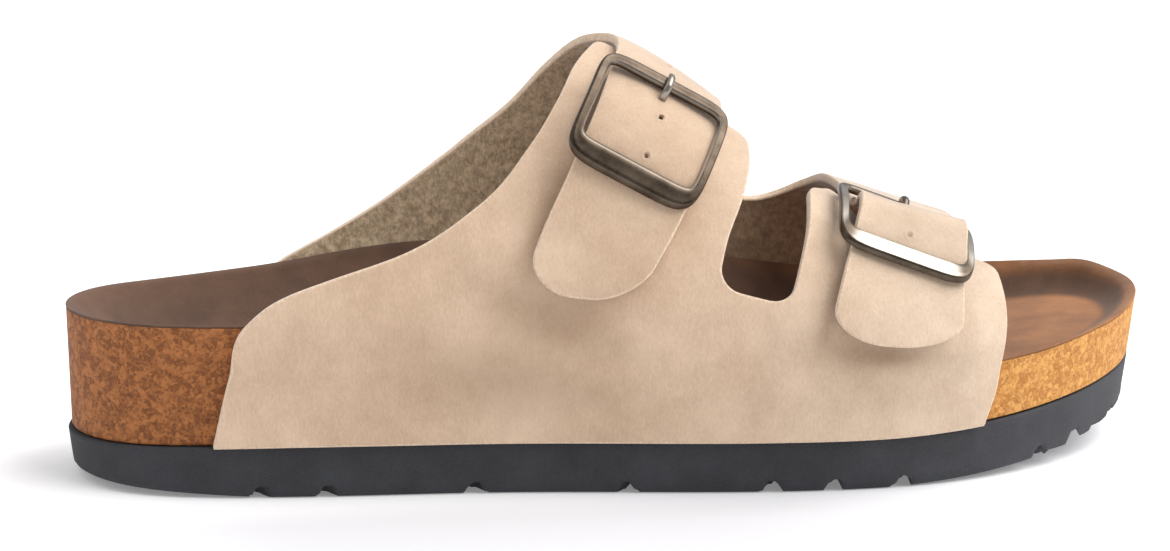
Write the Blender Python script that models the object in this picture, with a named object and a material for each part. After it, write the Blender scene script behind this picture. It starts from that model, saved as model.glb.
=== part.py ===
"""Double strap sandal for the right foot.

A foamed outsole with wavy tread grooves, a moulded cork footbed, its suede insole, a suede upper of an
outer panel and an inner panel whose two straps cross the instep, and two metal buckles with prongs.
Metres, +X to the toe, +Y to the inner side of the foot, +Z up. The sandal stands on its sole on z = 0,
with the middle of its box over the origin. Tables are written in millimetres from the back of the heel.
"""

import math

import bmesh
import bpy
import numpy as np
from mathutils import Matrix, Vector

MM = 0.001

# Driving sizes
GAP = 0.3 * MM
UPPER_WALL = 2.2 * MM
INSOLE_WALL = 1.6 * MM
INSOLE_GAP = 0.45 * MM
INSOLE_BEVEL = 0.3 * MM
OUTSOLE_EDGE_ROUND = 2.0 * MM
GROOVE_DEPTH = 3.0 * MM
GROOVE_WIDTH = 3.6 * MM
GROOVE_WAVE = 2.6 * MM
GROOVE_WAVE_PITCH = 21 * MM
OVER_GROOVES = 1.2 * MM
GROOVE_FOOT = 1.24 * GROOVE_WIDTH
GROOVE_ROOF = 0.76 * GROOVE_WIDTH
FLOOR_CLEARANCE = 6 * MM
SPINE_HEEL = 31 * MM
SPINE_TOE = 236 * MM
RIM_BLEND = 12 * MM
BED_CURVE = 2.1
RIM_GIRTH = 0.74
STEP_X = 0.5 * MM
STEP_GIRTH = 0.004
NEARLY_ZERO = 1e-9

# Mesh counts
OUTLINE_STEPS = 200
HALF_COLUMNS = 33
GROOVE_STEPS = 13
FRAME_STEPS = 40
PRONG_SIDES = 6
# Rings over the sole: insets from the rim, and shares of the way from the edge to the spine
RIM_INSETS = (1.6 * MM, 4.0 * MM, 7.5 * MM, 12 * MM, 19 * MM)
CENTRE_SHARES = (0.78, 1.0)
FLAT_SHARES = (0.12, 0.6, 1.0)
# Places of the rows and columns of the upper's sheets, as shares of the way
TAB_COLUMNS = np.array([0, 0.035, 0.08, 0.13, 0.18, 0.24, 0.5, 0.75, 0.89, 0.965, 1])
STRAP_COLUMNS = np.array([0, 0.07, 0.25, 0.5, 0.75, 0.93, 1])
GAP_COLUMNS = np.array([0, 0.33, 0.67, 1])
LOWER_ROWS = np.array([0, 0.2, 0.4, 0.58, 0.68, 0.78, 0.87, 0.94, 1])
TAB_ROWS = np.array([0, 0.01, 0.035, 0.07, 0.12, 0.22, 0.36, 0.52, 0.68, 0.82, 0.93, 1])
STRAP_ROWS = np.concatenate([[0, 0.004, 0.012, 0.025, 0.05], np.linspace(0.09, 0.93, 25), [0.965, 0.985, 1]])
WELD = 0.002 * MM
SHEET_WELD = 0.01 * MM
SHARP_DEGREES = 40

PLAIN_NUMBERS = ("girth", "share", "power_outer", "power_inner", "reach", "taper", "inwards", "rise")


def table(header, rows):
    """Columns by name: lengths go from millimetres to metres, and plain numbers stay as they are."""
    columns = {}
    for name, values in zip(header.split(), np.array(rows, float).T):
        columns[name] = values if name in PLAIN_NUMBERS else values * MM
    return columns


# The sole's edge seen from above, once round from the heel along the outer side.
OUTLINE = table("x y", [
    (0, -1),      # back of the heel
    (10, -23),
    (38, -34),    # widest of the heel, outer side
    (100, -39),   # waist
    (165, -48.5),  # outer ball
    (205, -47),
    (238, -33),   # little toe
    (261, -10),
    (268.3, 10),  # tip
    (267.2, 23),
    (262.5, 30.5),  # big toe
    (243, 40),
    (195, 45.5),  # inner ball
    (115, 36),    # arch
    (40, 33),     # widest of the heel, inner side
    (10, 22),
])

# Along the sole: heights of the tread, the outsole's top, the footbed's rim on each side and the bed on the
# centre line; how far the bed's slope runs in from the rim on each side; how far the rim overhangs the
# outline; how far the outsole's top edge lies outside it, and how far the tread's edge lies inside that.
SOLE = table("x tread joint rim_outer rim_inner bed slope_outer slope_inner flare ledge draft", [
    (0, 2.2, 11.8, 42.0, 42.0, 27.0, 29, 29, 0.7, 0.9, 0.9),
    (20, 1.2, 12.4, 42.0, 41.5, 26.0, 29, 29, 0.7, 0.9, 0.9),
    (45, 0.0, 13.0, 42.0, 43.0, 25.5, 28, 29, 0.7, 0.9, 1.0),
    (85, 0.0, 13.0, 39.0, 48.0, 27.0, 25, 33, 0.7, 0.9, 1.0),
    (125, 0.0, 13.0, 35.0, 48.0, 27.0, 22, 32, 0.7, 0.9, 1.0),
    (165, 0.0, 13.0, 31.0, 41.0, 23.0, 17, 24, 0.7, 0.9, 1.0),
    (200, 0.2, 13.3, 29.0, 36.0, 20.5, 12, 15, 0.7, 0.9, 1.2),
    (232, 2.5, 15.6, 30.5, 36.9, 26.6, 8, 8, 1.0, 0.7, 1.6),
    (255, 6.4, 18.6, 33.5, 38.1, 30.2, 8, 8, 1.5, 0.3, 1.6),
    (263, 8.5, 20.0, 34.2, 38.8, 30.7, 8, 8, 1.7, 0.1, 1.4),
    (268.3, 10.0, 21.2, 33.3, 37.4, 30.8, 8, 8, 1.9, 0.0, 1.2),
])

# Raised places of the bed: centre, half lengths, and height.
BED_BUMPS = table("x y long wide height", [
    (166, 2, 17, 15, 2.4),   # behind the ball
    (214, 0, 6, 30, 1.6),    # bar under the toes
])

# Sections of the last over the foot: ridge height and place, and how square the arch is.
LAST = table("x ridge ridge_y power_outer power_inner", [
    (20, 84.0, 0, 2.0, 2.0),
    (60, 97.0, 1, 2.0, 2.0),
    (100, 103.5, 2, 2.0, 2.0),
    (132, 101.4, 3, 2.05, 2.05),
    (165, 81.0, 4, 2.25, 2.4),
    (187, 65.6, 5, 2.5, 2.8),
    (200, 60.8, 5, 2.6, 2.9),
    (230, 50.6, 5, 2.7, 2.9),
    (250, 44.0, 5, 2.7, 2.9),
])

# Tread grooves: place on the centre line, and how much of the half width each one runs.
GROOVES = table("x reach", [
    (14, 0.80), (28, 0.84), (42, 1.3), (57, 1.3), (74, 0.84), (92, 1.3), (111, 0.84), (131, 1.3),
    (149, 0.84), (167, 1.3), (182, 1.3), (199, 1.3), (216, 0.86), (232, 1.3), (247, 1.3), (258, 0.9),
])

# Edges of the outer panel. Girth runs from -1 at the outer sole edge over the ridge at 0 to 1 at the inner
# sole edge.
OUTER_PANEL = table("girth rear gap_rear gap_front front", [
    (-1.00, 33.2, 148.0, 167.5, 217.3),
    (-0.85, 37.2, 149.0, 167.5, 218.9),
    (-0.74, 41.2, 149.5, 168.0, 220.0),
    (-0.675, 51.3, 150.0, 168.3, 220.7),
    (-0.645, 60.8, 150.4, 168.5, 221.0),
    (-0.60, 77.0, 151.0, 168.7, 221.4),
    (-0.51, 96.2, 153.3, 171.1, 221.8),
    (-0.40, 108.8, 157.9, 174.2, 221.7),
    (-0.29, 117.0, 161.2, 176.4, 221.3),
    (-0.20, 121.6, 162.3, 178.0, 220.8),
    (-0.12, 126.1, 163.0, 179.0, 220.5),
    (-0.05, 129.5, 163.0, 179.5, 220.5),
])
# Edges of the inner panel below its gap.
INNER_PANEL = table("girth rear gap_rear gap_front front", [
    (0.54, 97.5, 163, 175.5, 223.0),
    (0.60, 88.0, 161, 175, 223.0),
    (0.65, 79.0, 160, 175, 222.5),
    (0.70, 66.5, 159, 175, 222.0),
    (0.74, 54.5, 158, 175, 221.0),
    (0.85, 46.0, 156, 174, 219.0),
    (1.00, 40.0, 154, 173, 216.0),
])
# Edges of the straps, from the inner panel over the ridge to their ends on the outer side, and how far the
# inner face stands off the last at each edge: over the outer panel, up inside the buckle, and down to the
# panel below it.
REAR_STRAP = table("girth rear front lift_rear lift_front", [
    (0.54, 97.5, 163.0, 0.0, 0.0),
    (0.43, 111.3, 164.0, 0.0, 0.0),
    (0.31, 119.5, 163.5, 0.0, 0.0),
    (0.14, 127.0, 161.5, 0.0, 0.0),
    (0.00, 131.5, 158.5, 0.8, 0.3),
    (-0.10, 132.2, 156.3, 2.6, 2.2),   # over the outer panel's top
    (-0.245, 128.6, 152.9, 3.0, 2.4),  # under the upper bar
    (-0.28, 127.3, 152.0, 4.8, 3.5),
    (-0.33, 125.2, 150.3, 5.7, 4.4),
    (-0.39, 122.0, 147.6, 4.4, 3.3),
    (-0.46, 117.5, 144.6, 2.2, 1.5),   # under the lower bar
    (-0.53, 112.5, 140.5, 2.5, 2.3),
    (-0.59, 108.8, 136.3, 2.8, 2.8),
    (-0.652, 106.0, 133.0, 3.3, 3.3),
])
FRONT_STRAP = table("girth rear front lift_rear lift_front", [
    (0.54, 175.5, 223.0, 0.0, 0.0),
    (0.46, 183.0, 222.8, 0.0, 0.0),
    (0.35, 189.0, 222.5, 0.0, 0.0),
    (0.16, 191.0, 222.0, 0.0, 0.0),
    (0.00, 191.0, 220.5, 0.0, 0.0),
    (-0.14, 190.0, 217.0, 0.0, 0.0),
    (-0.21, 188.7, 214.2, 0.0, 0.0),   # under the upper bar
    (-0.25, 187.9, 212.8, 0.2, 0.2),
    (-0.275, 186.4, 211.4, 2.6, 2.8),  # over the outer panel's top
    (-0.31, 185.1, 210.5, 7.2, 8.6),
    (-0.345, 184.3, 209.7, 8.4, 10.3),
    (-0.385, 183.4, 209.2, 6.2, 7.2),
    (-0.43, 182.5, 209.2, 2.8, 3.0),
    (-0.47, 181.1, 208.6, 1.4, 1.4),   # under the lower bar
    (-0.54, 179.1, 207.7, 3.2, 3.2),
    (-0.648, 176.5, 206.6, 6.0, 6.0),
])
# How much further round the front edge of each strap meets its buckle than the rear edge.
REAR_SKEW = 0.05
FRONT_SKEW = 0.036

# Tops of the outer panel's two tabs: girth by the share of the tab's width, before the corners are rounded.
REAR_TAB = table("share girth", [
    (0, -0.04), (0.1, -0.082), (0.25, -0.119), (0.5, -0.155), (0.75, -0.184), (0.9, -0.187), (1, -0.17),
])
FRONT_TAB = table("share girth", [
    (0, -0.215), (0.06, -0.21), (0.13, -0.186),  # beside the strap
    (0.17, -0.20), (0.23, -0.262), (0.5, -0.295), (0.75, -0.328), (0.9, -0.339), (1, -0.335),
])
TAB_CORNER = 0.052
TAB_ROUND = 0.145
GAP_CORNER_GIRTH = 0.045
GAP_CORNER = 5.5 * MM
OUTER_GAP_GIRTH = -0.60
INNER_GAP_GIRTH = 0.54
STRAP_END_CORNER = 0.055
STRAP_END_ROUND = 0.4
STRAP_END_BOW = 0.012

# Buckles: the middle of each frame on the last, how high its inner face stands off there, and in degrees its
# turn on the strap, its tilt along the strap and its roll across it.
REAR_BUCKLE = {"x": 135.8 * MM, "girth": -0.361, "stand": 8.4 * MM, "turn": -2.0, "tilt": 1.3, "roll": -8.5}
FRONT_BUCKLE = {"x": 197.5 * MM, "girth": -0.335, "stand": 6.1 * MM, "turn": 1.5, "tilt": 6.5, "roll": -2.2}
FRAME_LONG = 34.6 * MM
FRAME_SHORT = 32.0 * MM
FRAME_SIDE = 2.45 * MM
FRAME_UPPER_BAR = 3.7 * MM
FRAME_LOWER_BAR = 5.8 * MM
FRAME_THICK = 2.0 * MM
FRAME_CORNER_POWER = 6.0
FRAME_BEND_RADIUS = 48 * MM
STRAP_STEP = 0.10
# The bar's section: share of the way from its outer side to its inner side, and of its height.
BAR_SECTION = table("inwards rise", [
    (0.0, 0.25), (0.03, 0.76), (0.16, 1.0), (0.76, 1.0), (0.96, 0.70), (1.0, 0.25), (0.90, 0.0), (0.10, 0.0),
])
PRONG_WIDTH = 1.9 * MM
PRONG_THICK = 1.5 * MM
# The prong from its tip: way down the strap from the middle of the upper bar, height over where it lies on
# the bar, and share of its full width.
PRONG = table("down height taper", [
    (-2.9, -0.9, 0.72),
    (-1.0, 0.15, 1.0),
    (1.6, 0.1, 1.0),
    (3.1, -0.7, 1.0),
    (4.0, -1.5, 1.0),
])


# Curves and tables

def smooth(at, knots, values):
    """Cubic through a table's values, flat beyond its ends."""
    slopes = np.gradient(values, knots)
    at = np.clip(at, knots[0], knots[-1])
    i = np.clip(np.searchsorted(knots, at) - 1, 0, len(knots) - 2)
    span = knots[i + 1] - knots[i]
    t = (at - knots[i]) / span
    left = (1 + 2 * t) * (1 - t) ** 2 * values[i] + t * (1 - t) ** 2 * span * slopes[i]
    right = t * t * (3 - 2 * t) * values[i + 1] + t * t * (t - 1) * span * slopes[i + 1]
    return left + right


def read(rows, name, along, at):
    """One column of a table at any place along it, whichever way the table runs."""
    order = np.argsort(rows[along])
    return smooth(at, rows[along][order], rows[name][order])


def closed_curve(points, steps):
    """Closed cubic through the points with continuous bend, the chord length as its parameter."""
    count = len(points)
    after = np.linalg.norm(np.roll(points, -1, 0) - points, axis=1)
    before = np.roll(after, 1)
    rise = after[:, None] / before[:, None] * (points - np.roll(points, 1, 0))
    rise = 3 * (rise + before[:, None] / after[:, None] * (np.roll(points, -1, 0) - points))
    system = np.diag(2 * (after + before))
    for i in range(count):
        system[i, i - 1] = after[i]
        system[i, (i + 1) % count] = before[i]
    slopes = np.linalg.solve(system, rise)
    t = np.linspace(0, 1, steps, endpoint=False)[None, :, None]
    start, end = points[:, None], np.roll(points, -1, 0)[:, None]
    leave = (slopes * after[:, None])[:, None]
    arrive = (np.roll(slopes, -1, 0) * after[:, None])[:, None]
    curve = (1 + 2 * t) * (1 - t) ** 2 * start + t * (1 - t) ** 2 * leave
    curve = curve + t * t * (3 - 2 * t) * end + t * t * (t - 1) * arrive
    return curve.reshape(-1, 2)


def sole_sides():
    """The outline's outer and inner side, each from the heel to the tip."""
    curve = closed_curve(np.column_stack([OUTLINE["x"], OUTLINE["y"]]), OUTLINE_STEPS)
    curve = np.roll(curve, -curve[:, 0].argmin(), 0)
    tip = curve[:, 0].argmax()
    return curve[:tip + 1], np.vstack([curve[tip:], curve[:1]])[::-1]


OUTER_SIDE, INNER_SIDE = sole_sides()


def outer_edge(x):
    return np.interp(x, OUTER_SIDE[:, 0], OUTER_SIDE[:, 1])


def inner_edge(x):
    return np.interp(x, INNER_SIDE[:, 0], INNER_SIDE[:, 1])


# Sole

def sole_ring():
    """Outline points once round, closer together at heel and tip, with their normals and spine points.

    The points of both sides share their places along the sole, so that rings fold onto the spine.
    """
    turn = np.linspace(0, math.pi, HALF_COLUMNS + 1)
    heel, tip = OUTER_SIDE[0, 0], OUTER_SIDE[-1, 0]
    x = heel + (tip - heel) * (1 - np.cos(turn)) / 2
    outer = np.column_stack([x, outer_edge(x)])
    inner = np.column_stack([x, inner_edge(x)])[1:-1][::-1]
    edge = np.vstack([outer, inner])
    along = np.roll(edge, -1, 0) - np.roll(edge, 1, 0)
    normal = np.column_stack([along[:, 1], -along[:, 0]])
    normal = -normal / np.linalg.norm(normal, axis=1)[:, None]
    normal *= np.sign(((edge - edge.mean(0)) * normal).sum(1))[:, None]
    spine_x = np.clip(edge[:, 0], SPINE_HEEL, SPINE_TOE)
    spine = np.column_stack([spine_x, (outer_edge(spine_x) + inner_edge(spine_x)) / 2])
    inner_side = np.arange(len(edge)) > HALF_COLUMNS
    return edge, normal, spine, inner_side


EDGE, EDGE_NORMAL, SPINE, ON_INNER_SIDE = sole_ring()


def sole_height(name, x):
    """A column of the sole's table along the sole, never below the floor."""
    return np.maximum(read(SOLE, name, "x", x), 0)


def rim_height():
    """Height of the footbed's rim at each outline point, blended between the sides round heel and tip."""
    share = 0.5 + 0.5 * np.tanh(EDGE[:, 1] / RIM_BLEND)
    return (1 - share) * sole_height("rim_outer", EDGE[:, 0]) + share * sole_height("rim_inner", EDGE[:, 0])


def bed_height(place, inset):
    """Height of the foot's bed in from each outline point: the slope from the rim, and the raised places."""
    slope_inner, slope_outer = sole_height("slope_inner", EDGE[:, 0]), sole_height("slope_outer", EDGE[:, 0])
    slope = np.where(ON_INNER_SIDE, slope_inner, slope_outer)
    bed = sole_height("bed", place[:, 0])
    climb = np.clip(1 - inset / slope, 0, 1) ** BED_CURVE
    height = bed + (rim_height() - bed) * climb
    for x, y, long, wide, rise in zip(*BED_BUMPS.values()):
        away = ((place[:, 0] - x) / long) ** 2 + ((place[:, 1] - y) / wide) ** 2
        height = height + rise * np.exp(-away) * (1 - climb)
    return height


def ring(offset, height):
    """The outline moved outwards by an offset, at a height."""
    place = EDGE + EDGE_NORMAL * np.broadcast_to(offset, len(EDGE))[:, None]
    return np.column_stack([place, np.broadcast_to(height, len(EDGE))])


def inward(share, height_at):
    """A ring a share of the way from the outline to the spine, its height a function of place and inset."""
    place = EDGE + (SPINE - EDGE) * share[:, None]
    inset = np.linalg.norm(place - EDGE, axis=1)
    return np.column_stack([place, height_at(place, inset)])


def bed_rings(drop):
    """Rings over the bed from near the rim to the spine, a drop below the foot's bed."""
    half = np.linalg.norm(SPINE - EDGE, axis=1)
    shares = [inset / half for inset in RIM_INSETS] + [np.full(len(EDGE), s) for s in CENTRE_SHARES]
    return [inward(share, lambda place, inset: bed_height(place, inset) - drop) for share in shares]


def flat_rings(name, rise):
    """Rings over a level of the sole from near its edge to the spine."""
    return [inward(np.full(len(EDGE), share), lambda place, inset: sole_height(name, place[:, 0]) + rise)
            for share in FLAT_SHARES]


def skinned(name, rings, material):
    """A closed body through rings that start and end folded on the spine."""
    count = len(EDGE)
    points = np.vstack(rings)
    faces = []
    for level in range(len(rings) - 1):
        for k in range(count):
            a, b = level * count + k, level * count + (k + 1) % count
            faces.append((a, b, b + count, a + count))
    return add_object(name, points, faces, material)


def outsole():
    """The tread, its rounded edge, the drafted side, and the flat top; then the grooves are cut."""
    along = EDGE[:, 0]
    joint, tread = sole_height("joint", along), sole_height("tread", along)
    ledge = sole_height("ledge", along)
    tread_edge = ledge - sole_height("draft", along)
    over_grooves = tread + GROOVE_DEPTH + OVER_GROOVES
    rings = flat_rings("tread", 0)[::-1]
    rings.append(ring(tread_edge - OUTSOLE_EDGE_ROUND, tread))
    rings.append(ring(tread_edge - 0.3 * OUTSOLE_EDGE_ROUND, tread + 0.3 * OUTSOLE_EDGE_ROUND))
    rings.append(ring(tread_edge, tread + OUTSOLE_EDGE_ROUND))
    rings.append(ring(tread_edge + 0.3 * (ledge - tread_edge), over_grooves))
    rings.append(ring(ledge, joint))
    rings += flat_rings("joint", 0)
    body = skinned("outsole", rings, OUTSOLE_BLACK)
    cut(body, tread_grooves(), "DIFFERENCE")
    return body


def tread_grooves():
    """Wavy bars across the sole, one for each groove, from below the floor up to the groove's roof."""
    points, faces = [], []
    for x, reach in zip(GROOVES["x"], GROOVES["reach"]):
        low, high = outer_edge(x), inner_edge(x)
        middle, half = (low + high) / 2, (high - low) / 2 * reach
        y = np.linspace(middle - half, middle + half, GROOVE_STEPS)
        wave = x + GROOVE_WAVE * np.sin(2 * math.pi * y / GROOVE_WAVE_PITCH)
        roof = sole_height("tread", wave) + GROOVE_DEPTH
        first = len(points)
        for k in range(GROOVE_STEPS):
            points.append((wave[k] - GROOVE_FOOT / 2, y[k], -FLOOR_CLEARANCE))
            points.append((wave[k] + GROOVE_FOOT / 2, y[k], -FLOOR_CLEARANCE))
            points.append((wave[k] + GROOVE_ROOF / 2, y[k], roof[k]))
            points.append((wave[k] - GROOVE_ROOF / 2, y[k], roof[k]))
        for k in range(GROOVE_STEPS - 1):
            for s in range(4):
                a, b = first + 4 * k + s, first + 4 * k + (s + 1) % 4
                faces.append((a, b, b + 4, a + 4))
        last = first + 4 * (GROOVE_STEPS - 1)
        faces += [(first + 3, first + 2, first + 1, first), (last, last + 1, last + 2, last + 3)]
    return add_object("tread_grooves", np.array(points), faces, OUTSOLE_BLACK, guide=True)


def cork_footbed():
    """From the outsole's top up the flared side to the rim, and over the bed under the insole."""
    joint = sole_height("joint", EDGE[:, 0]) + GAP
    rim = rim_height() - INSOLE_WALL - INSOLE_GAP
    rings = flat_rings("joint", GAP)[::-1]
    flare = sole_height("flare", EDGE[:, 0])
    rings += [ring(flare * s, joint + (rim - joint) * s) for s in (0, 0.5, 1.0)]
    rings += bed_rings(INSOLE_WALL + INSOLE_GAP)
    return skinned("cork_footbed", rings, CORK)


def insole():
    """A thin skin over the bed, its edge flush with the footbed's rim."""
    rim = rim_height()
    flare = sole_height("flare", EDGE[:, 0])
    rings = bed_rings(INSOLE_WALL)[::-1]
    rings += [ring(flare, rim - INSOLE_WALL), ring(flare - INSOLE_BEVEL, rim)]
    rings += bed_rings(0)
    return skinned("insole", rings, INSOLE_BROWN)


# Upper

def last_point(x, girth):
    """The last under the upper: up the footbed's side to the rim, then a squared arch over the ridge."""
    x, girth = np.broadcast_arrays(np.asarray(x, float), np.asarray(girth, float))
    outer = girth < 0
    side = np.where(outer, -1.0, 1.0)
    rim = np.where(outer, sole_height("rim_outer", x), sole_height("rim_inner", x))
    edge = np.where(outer, outer_edge(x), inner_edge(x))
    foot = sole_height("joint", x) + GAP
    ridge, ridge_y = read(LAST, "ridge", "x", x), read(LAST, "ridge_y", "x", x)
    power = np.where(outer, read(LAST, "power_outer", "x", x), read(LAST, "power_inner", "x", x))
    round_about = np.abs(girth)
    down_wall = np.clip((round_about - RIM_GIRTH) / (1 - RIM_GIRTH), 0, 1)
    edge = edge + side * (GAP + sole_height("flare", x) * (1 - down_wall))
    angle = (1 - np.clip(round_about / RIM_GIRTH, 0, 1)) * math.pi / 2
    reach = (np.cos(angle) ** power + np.sin(angle) ** power) ** (-1 / power)
    y = np.where(down_wall > 0, edge, ridge_y + (edge - ridge_y) * reach * np.cos(angle))
    arch = rim + (ridge - rim) * reach * np.sin(angle)
    z = np.where(down_wall > 0, rim + (foot - rim) * down_wall, arch)
    return np.stack([x, y, z], -1)


def last_normal(x, girth):
    """Outward normal of the last, from small steps along and round it."""
    along = last_point(x + STEP_X, girth) - last_point(x - STEP_X, girth)
    low, high = np.maximum(girth - STEP_GIRTH, -1), np.minimum(girth + STEP_GIRTH, 1)
    normal = np.cross(along, last_point(x, high) - last_point(x, low))
    return normal / np.linalg.norm(normal, axis=-1, keepdims=True)


def off_last(x, girth, lift):
    """A point at a height over the last."""
    return last_point(x, girth) + last_normal(x, girth) * np.asarray(lift)[..., None]


def quarter_round(share, width, depth):
    """How far an edge is cut back near its two ends, as a quarter ellipse of this width and depth."""
    near = np.clip(1 - np.minimum(share, 1 - share) / width, 0, 1)
    return depth * (1 - np.sqrt(1 - near * near))


class Sheet:
    """Grids of points with a face on each cell, thickened into one closed wall."""

    def __init__(self):
        self.x, self.girth, self.lift, self.cells = [], [], [], []

    def grid(self, x, girth, lift):
        """Adds a grid of places on the last, and faces between them."""
        first = sum(len(part) for part in self.x)
        rows, columns = x.shape
        self.x.append(x.ravel())
        self.girth.append(np.broadcast_to(girth, x.shape).ravel())
        self.lift.append(np.broadcast_to(lift, x.shape).ravel())
        for r in range(rows - 1):
            for c in range(columns - 1):
                a = first + r * columns + c
                self.cells.append((a, a + 1, a + columns + 1, a + columns))

    def wall(self, name, thickness, material, guide=False):
        """The closed wall: inner face, outer face and the cut edge between them."""
        x, girth, lift = (np.concatenate(part) for part in (self.x, self.girth, self.lift))
        inner, outer = off_last(x, girth, lift), off_last(x, girth, lift + thickness)
        first_at = {}
        merged = [first_at.setdefault(tuple(np.round(p / SHEET_WELD)), i) for i, p in enumerate(inner)]
        cells = [[merged[i] for i in cell] for cell in self.cells]
        count = len(inner)
        edges = {edge for cell in cells for edge in zip(cell, cell[1:] + cell[:1])}
        faces = [tuple(cell) for cell in cells]
        faces += [tuple(i + count for i in cell[::-1]) for cell in cells]
        faces += [(b, a, a + count, b + count) for a, b in edges if (b, a) not in edges]
        return add_object(name, np.vstack([inner, outer]), sorted(faces), material, guide=guide)


def gap_edges(panel, girth, gap_girth):
    """The gap's two edges at a girth, drawn together round its bottom corners."""
    near = np.clip(1 - np.abs(girth - gap_girth) / GAP_CORNER_GIRTH, 0, 1)
    below_gap = np.abs(girth) > abs(gap_girth) + NEARLY_ZERO
    draw = np.where(below_gap, GAP_CORNER, GAP_CORNER * (1 - np.sqrt(1 - near * near)))
    return read(panel, "gap_rear", "girth", girth) + draw, read(panel, "gap_front", "girth", girth) - draw


def between(low, high, shares):
    """Columns from one edge to another."""
    return low[:, None] + (high - low)[:, None] * shares[None, :]


def lower_panel(sheet, panel, gap_girth, columns):
    """The part of a panel from the sole up to the bottom of the gap, in three groups of columns."""
    foot = math.copysign(1, gap_girth)
    girth = foot + (gap_girth - foot) * LOWER_ROWS
    gap_rear, gap_front = gap_edges(panel, girth, gap_girth)
    rear, front = read(panel, "rear", "girth", girth), read(panel, "front", "girth", girth)
    sheet.grid(between(rear, gap_rear, columns), girth[:, None], 0.0)
    sheet.grid(between(gap_rear, gap_front, GAP_COLUMNS), girth[:, None], 0.0)
    sheet.grid(between(gap_front, front, columns), girth[:, None], 0.0)


def panel_tab(sheet, tab, rear_of, front_of):
    """A tab of the outer panel from the gap's bottom up to its top with round corners."""
    top = read(tab, "girth", "share", TAB_COLUMNS) - quarter_round(TAB_COLUMNS, TAB_ROUND, TAB_CORNER)
    girth = OUTER_GAP_GIRTH + TAB_ROWS[:, None] * (top - OUTER_GAP_GIRTH)
    rear, front = rear_of(girth), front_of(girth)
    sheet.grid(rear + (front - rear) * TAB_COLUMNS, girth, 0.0)


def outer_panel():
    """The panel on the outer side with its two tabs."""
    sheet = Sheet()
    lower_panel(sheet, OUTER_PANEL, OUTER_GAP_GIRTH, TAB_COLUMNS)
    panel_tab(sheet, REAR_TAB, lambda g: read(OUTER_PANEL, "rear", "girth", g),
              lambda g: gap_edges(OUTER_PANEL, g, OUTER_GAP_GIRTH)[0])
    panel_tab(sheet, FRONT_TAB, lambda g: gap_edges(OUTER_PANEL, g, OUTER_GAP_GIRTH)[1],
              lambda g: read(OUTER_PANEL, "front", "girth", g))
    return sheet


def strap(sheet, rows, skew, gap_side):
    """A strap from the inner panel to its rounded end on the outer side."""
    end = rows["girth"].min() + quarter_round(STRAP_COLUMNS, STRAP_END_ROUND, STRAP_END_CORNER)
    end = end + STRAP_END_BOW * (2 * STRAP_COLUMNS - 1) ** 2
    girth = INNER_GAP_GIRTH + STRAP_ROWS[:, None] * (end - INNER_GAP_GIRTH)
    rear, front = read(rows, "rear", "girth", girth), read(rows, "front", "girth", girth)
    near = np.clip(1 - (INNER_GAP_GIRTH - girth) / GAP_CORNER_GIRTH, 0, 1)
    draw = GAP_CORNER * (1 - np.sqrt(1 - near * near))
    rear, front = (rear - draw, front) if gap_side == "rear" else (rear, front + draw)
    turned = girth + skew * (STRAP_COLUMNS - 0.5)
    lift_rear, lift_front = (read(rows, name, "girth", turned) for name in ("lift_rear", "lift_front"))
    lift = lift_rear + (lift_front - lift_rear) * STRAP_COLUMNS
    sheet.grid(rear + (front - rear) * STRAP_COLUMNS, girth, lift)


def inner_panel():
    """The panel on the inner side with its two straps."""
    sheet = Sheet()
    lower_panel(sheet, INNER_PANEL, INNER_GAP_GIRTH, STRAP_COLUMNS)
    strap(sheet, REAR_STRAP, REAR_SKEW, "front")
    strap(sheet, FRONT_STRAP, FRONT_SKEW, "rear")
    return sheet


def upper():
    """Both panels, joined where the straps cross the outer panel's tabs."""
    body = outer_panel().wall("upper", UPPER_WALL, SUEDE)
    straps = inner_panel().wall("upper_inner_panel", UPPER_WALL, SUEDE, guide=True)
    cut(body, straps, "UNION")
    return body


# Buckles

def buckle_place(rows, buckle):
    """Where a buckle sits: across the strap, down the strap and out of it, as a matrix."""
    ends = buckle["girth"] + np.array([STRAP_STEP, -STRAP_STEP])
    middle = (read(rows, "rear", "girth", ends) + read(rows, "front", "girth", ends)) / 2
    start, end = last_point(middle, ends)
    down = Vector(end - start).normalized()
    x, girth = np.array(buckle["x"]), np.array(buckle["girth"])
    out = Vector(last_normal(x, girth))
    out = (out - down * out.dot(down)).normalized()
    place = Matrix((down.cross(out), down, out)).transposed().to_4x4()
    for angle, axis in (("turn", "Z"), ("tilt", "X"), ("roll", "Y")):
        place = place @ Matrix.Rotation(math.radians(buckle[angle]), 4, axis)
    place.translation = Vector(off_last(x, girth, np.array(buckle["stand"])))
    return place


def bent(points):
    """Points of a flat buckle bent over the foot, down the strap."""
    points = np.array(points, float)
    points[:, 2] -= points[:, 1] ** 2 / (2 * FRAME_BEND_RADIUS)
    return points


def squared_ring(power):
    """Points round a squared circle of radius one, at even turns."""
    turn = np.linspace(0, 2 * math.pi, FRAME_STEPS, endpoint=False)
    reach = (np.abs(np.cos(turn)) ** power + np.abs(np.sin(turn)) ** power) ** (-1 / power)
    return np.column_stack([np.cos(turn) * reach, np.sin(turn) * reach])


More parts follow.
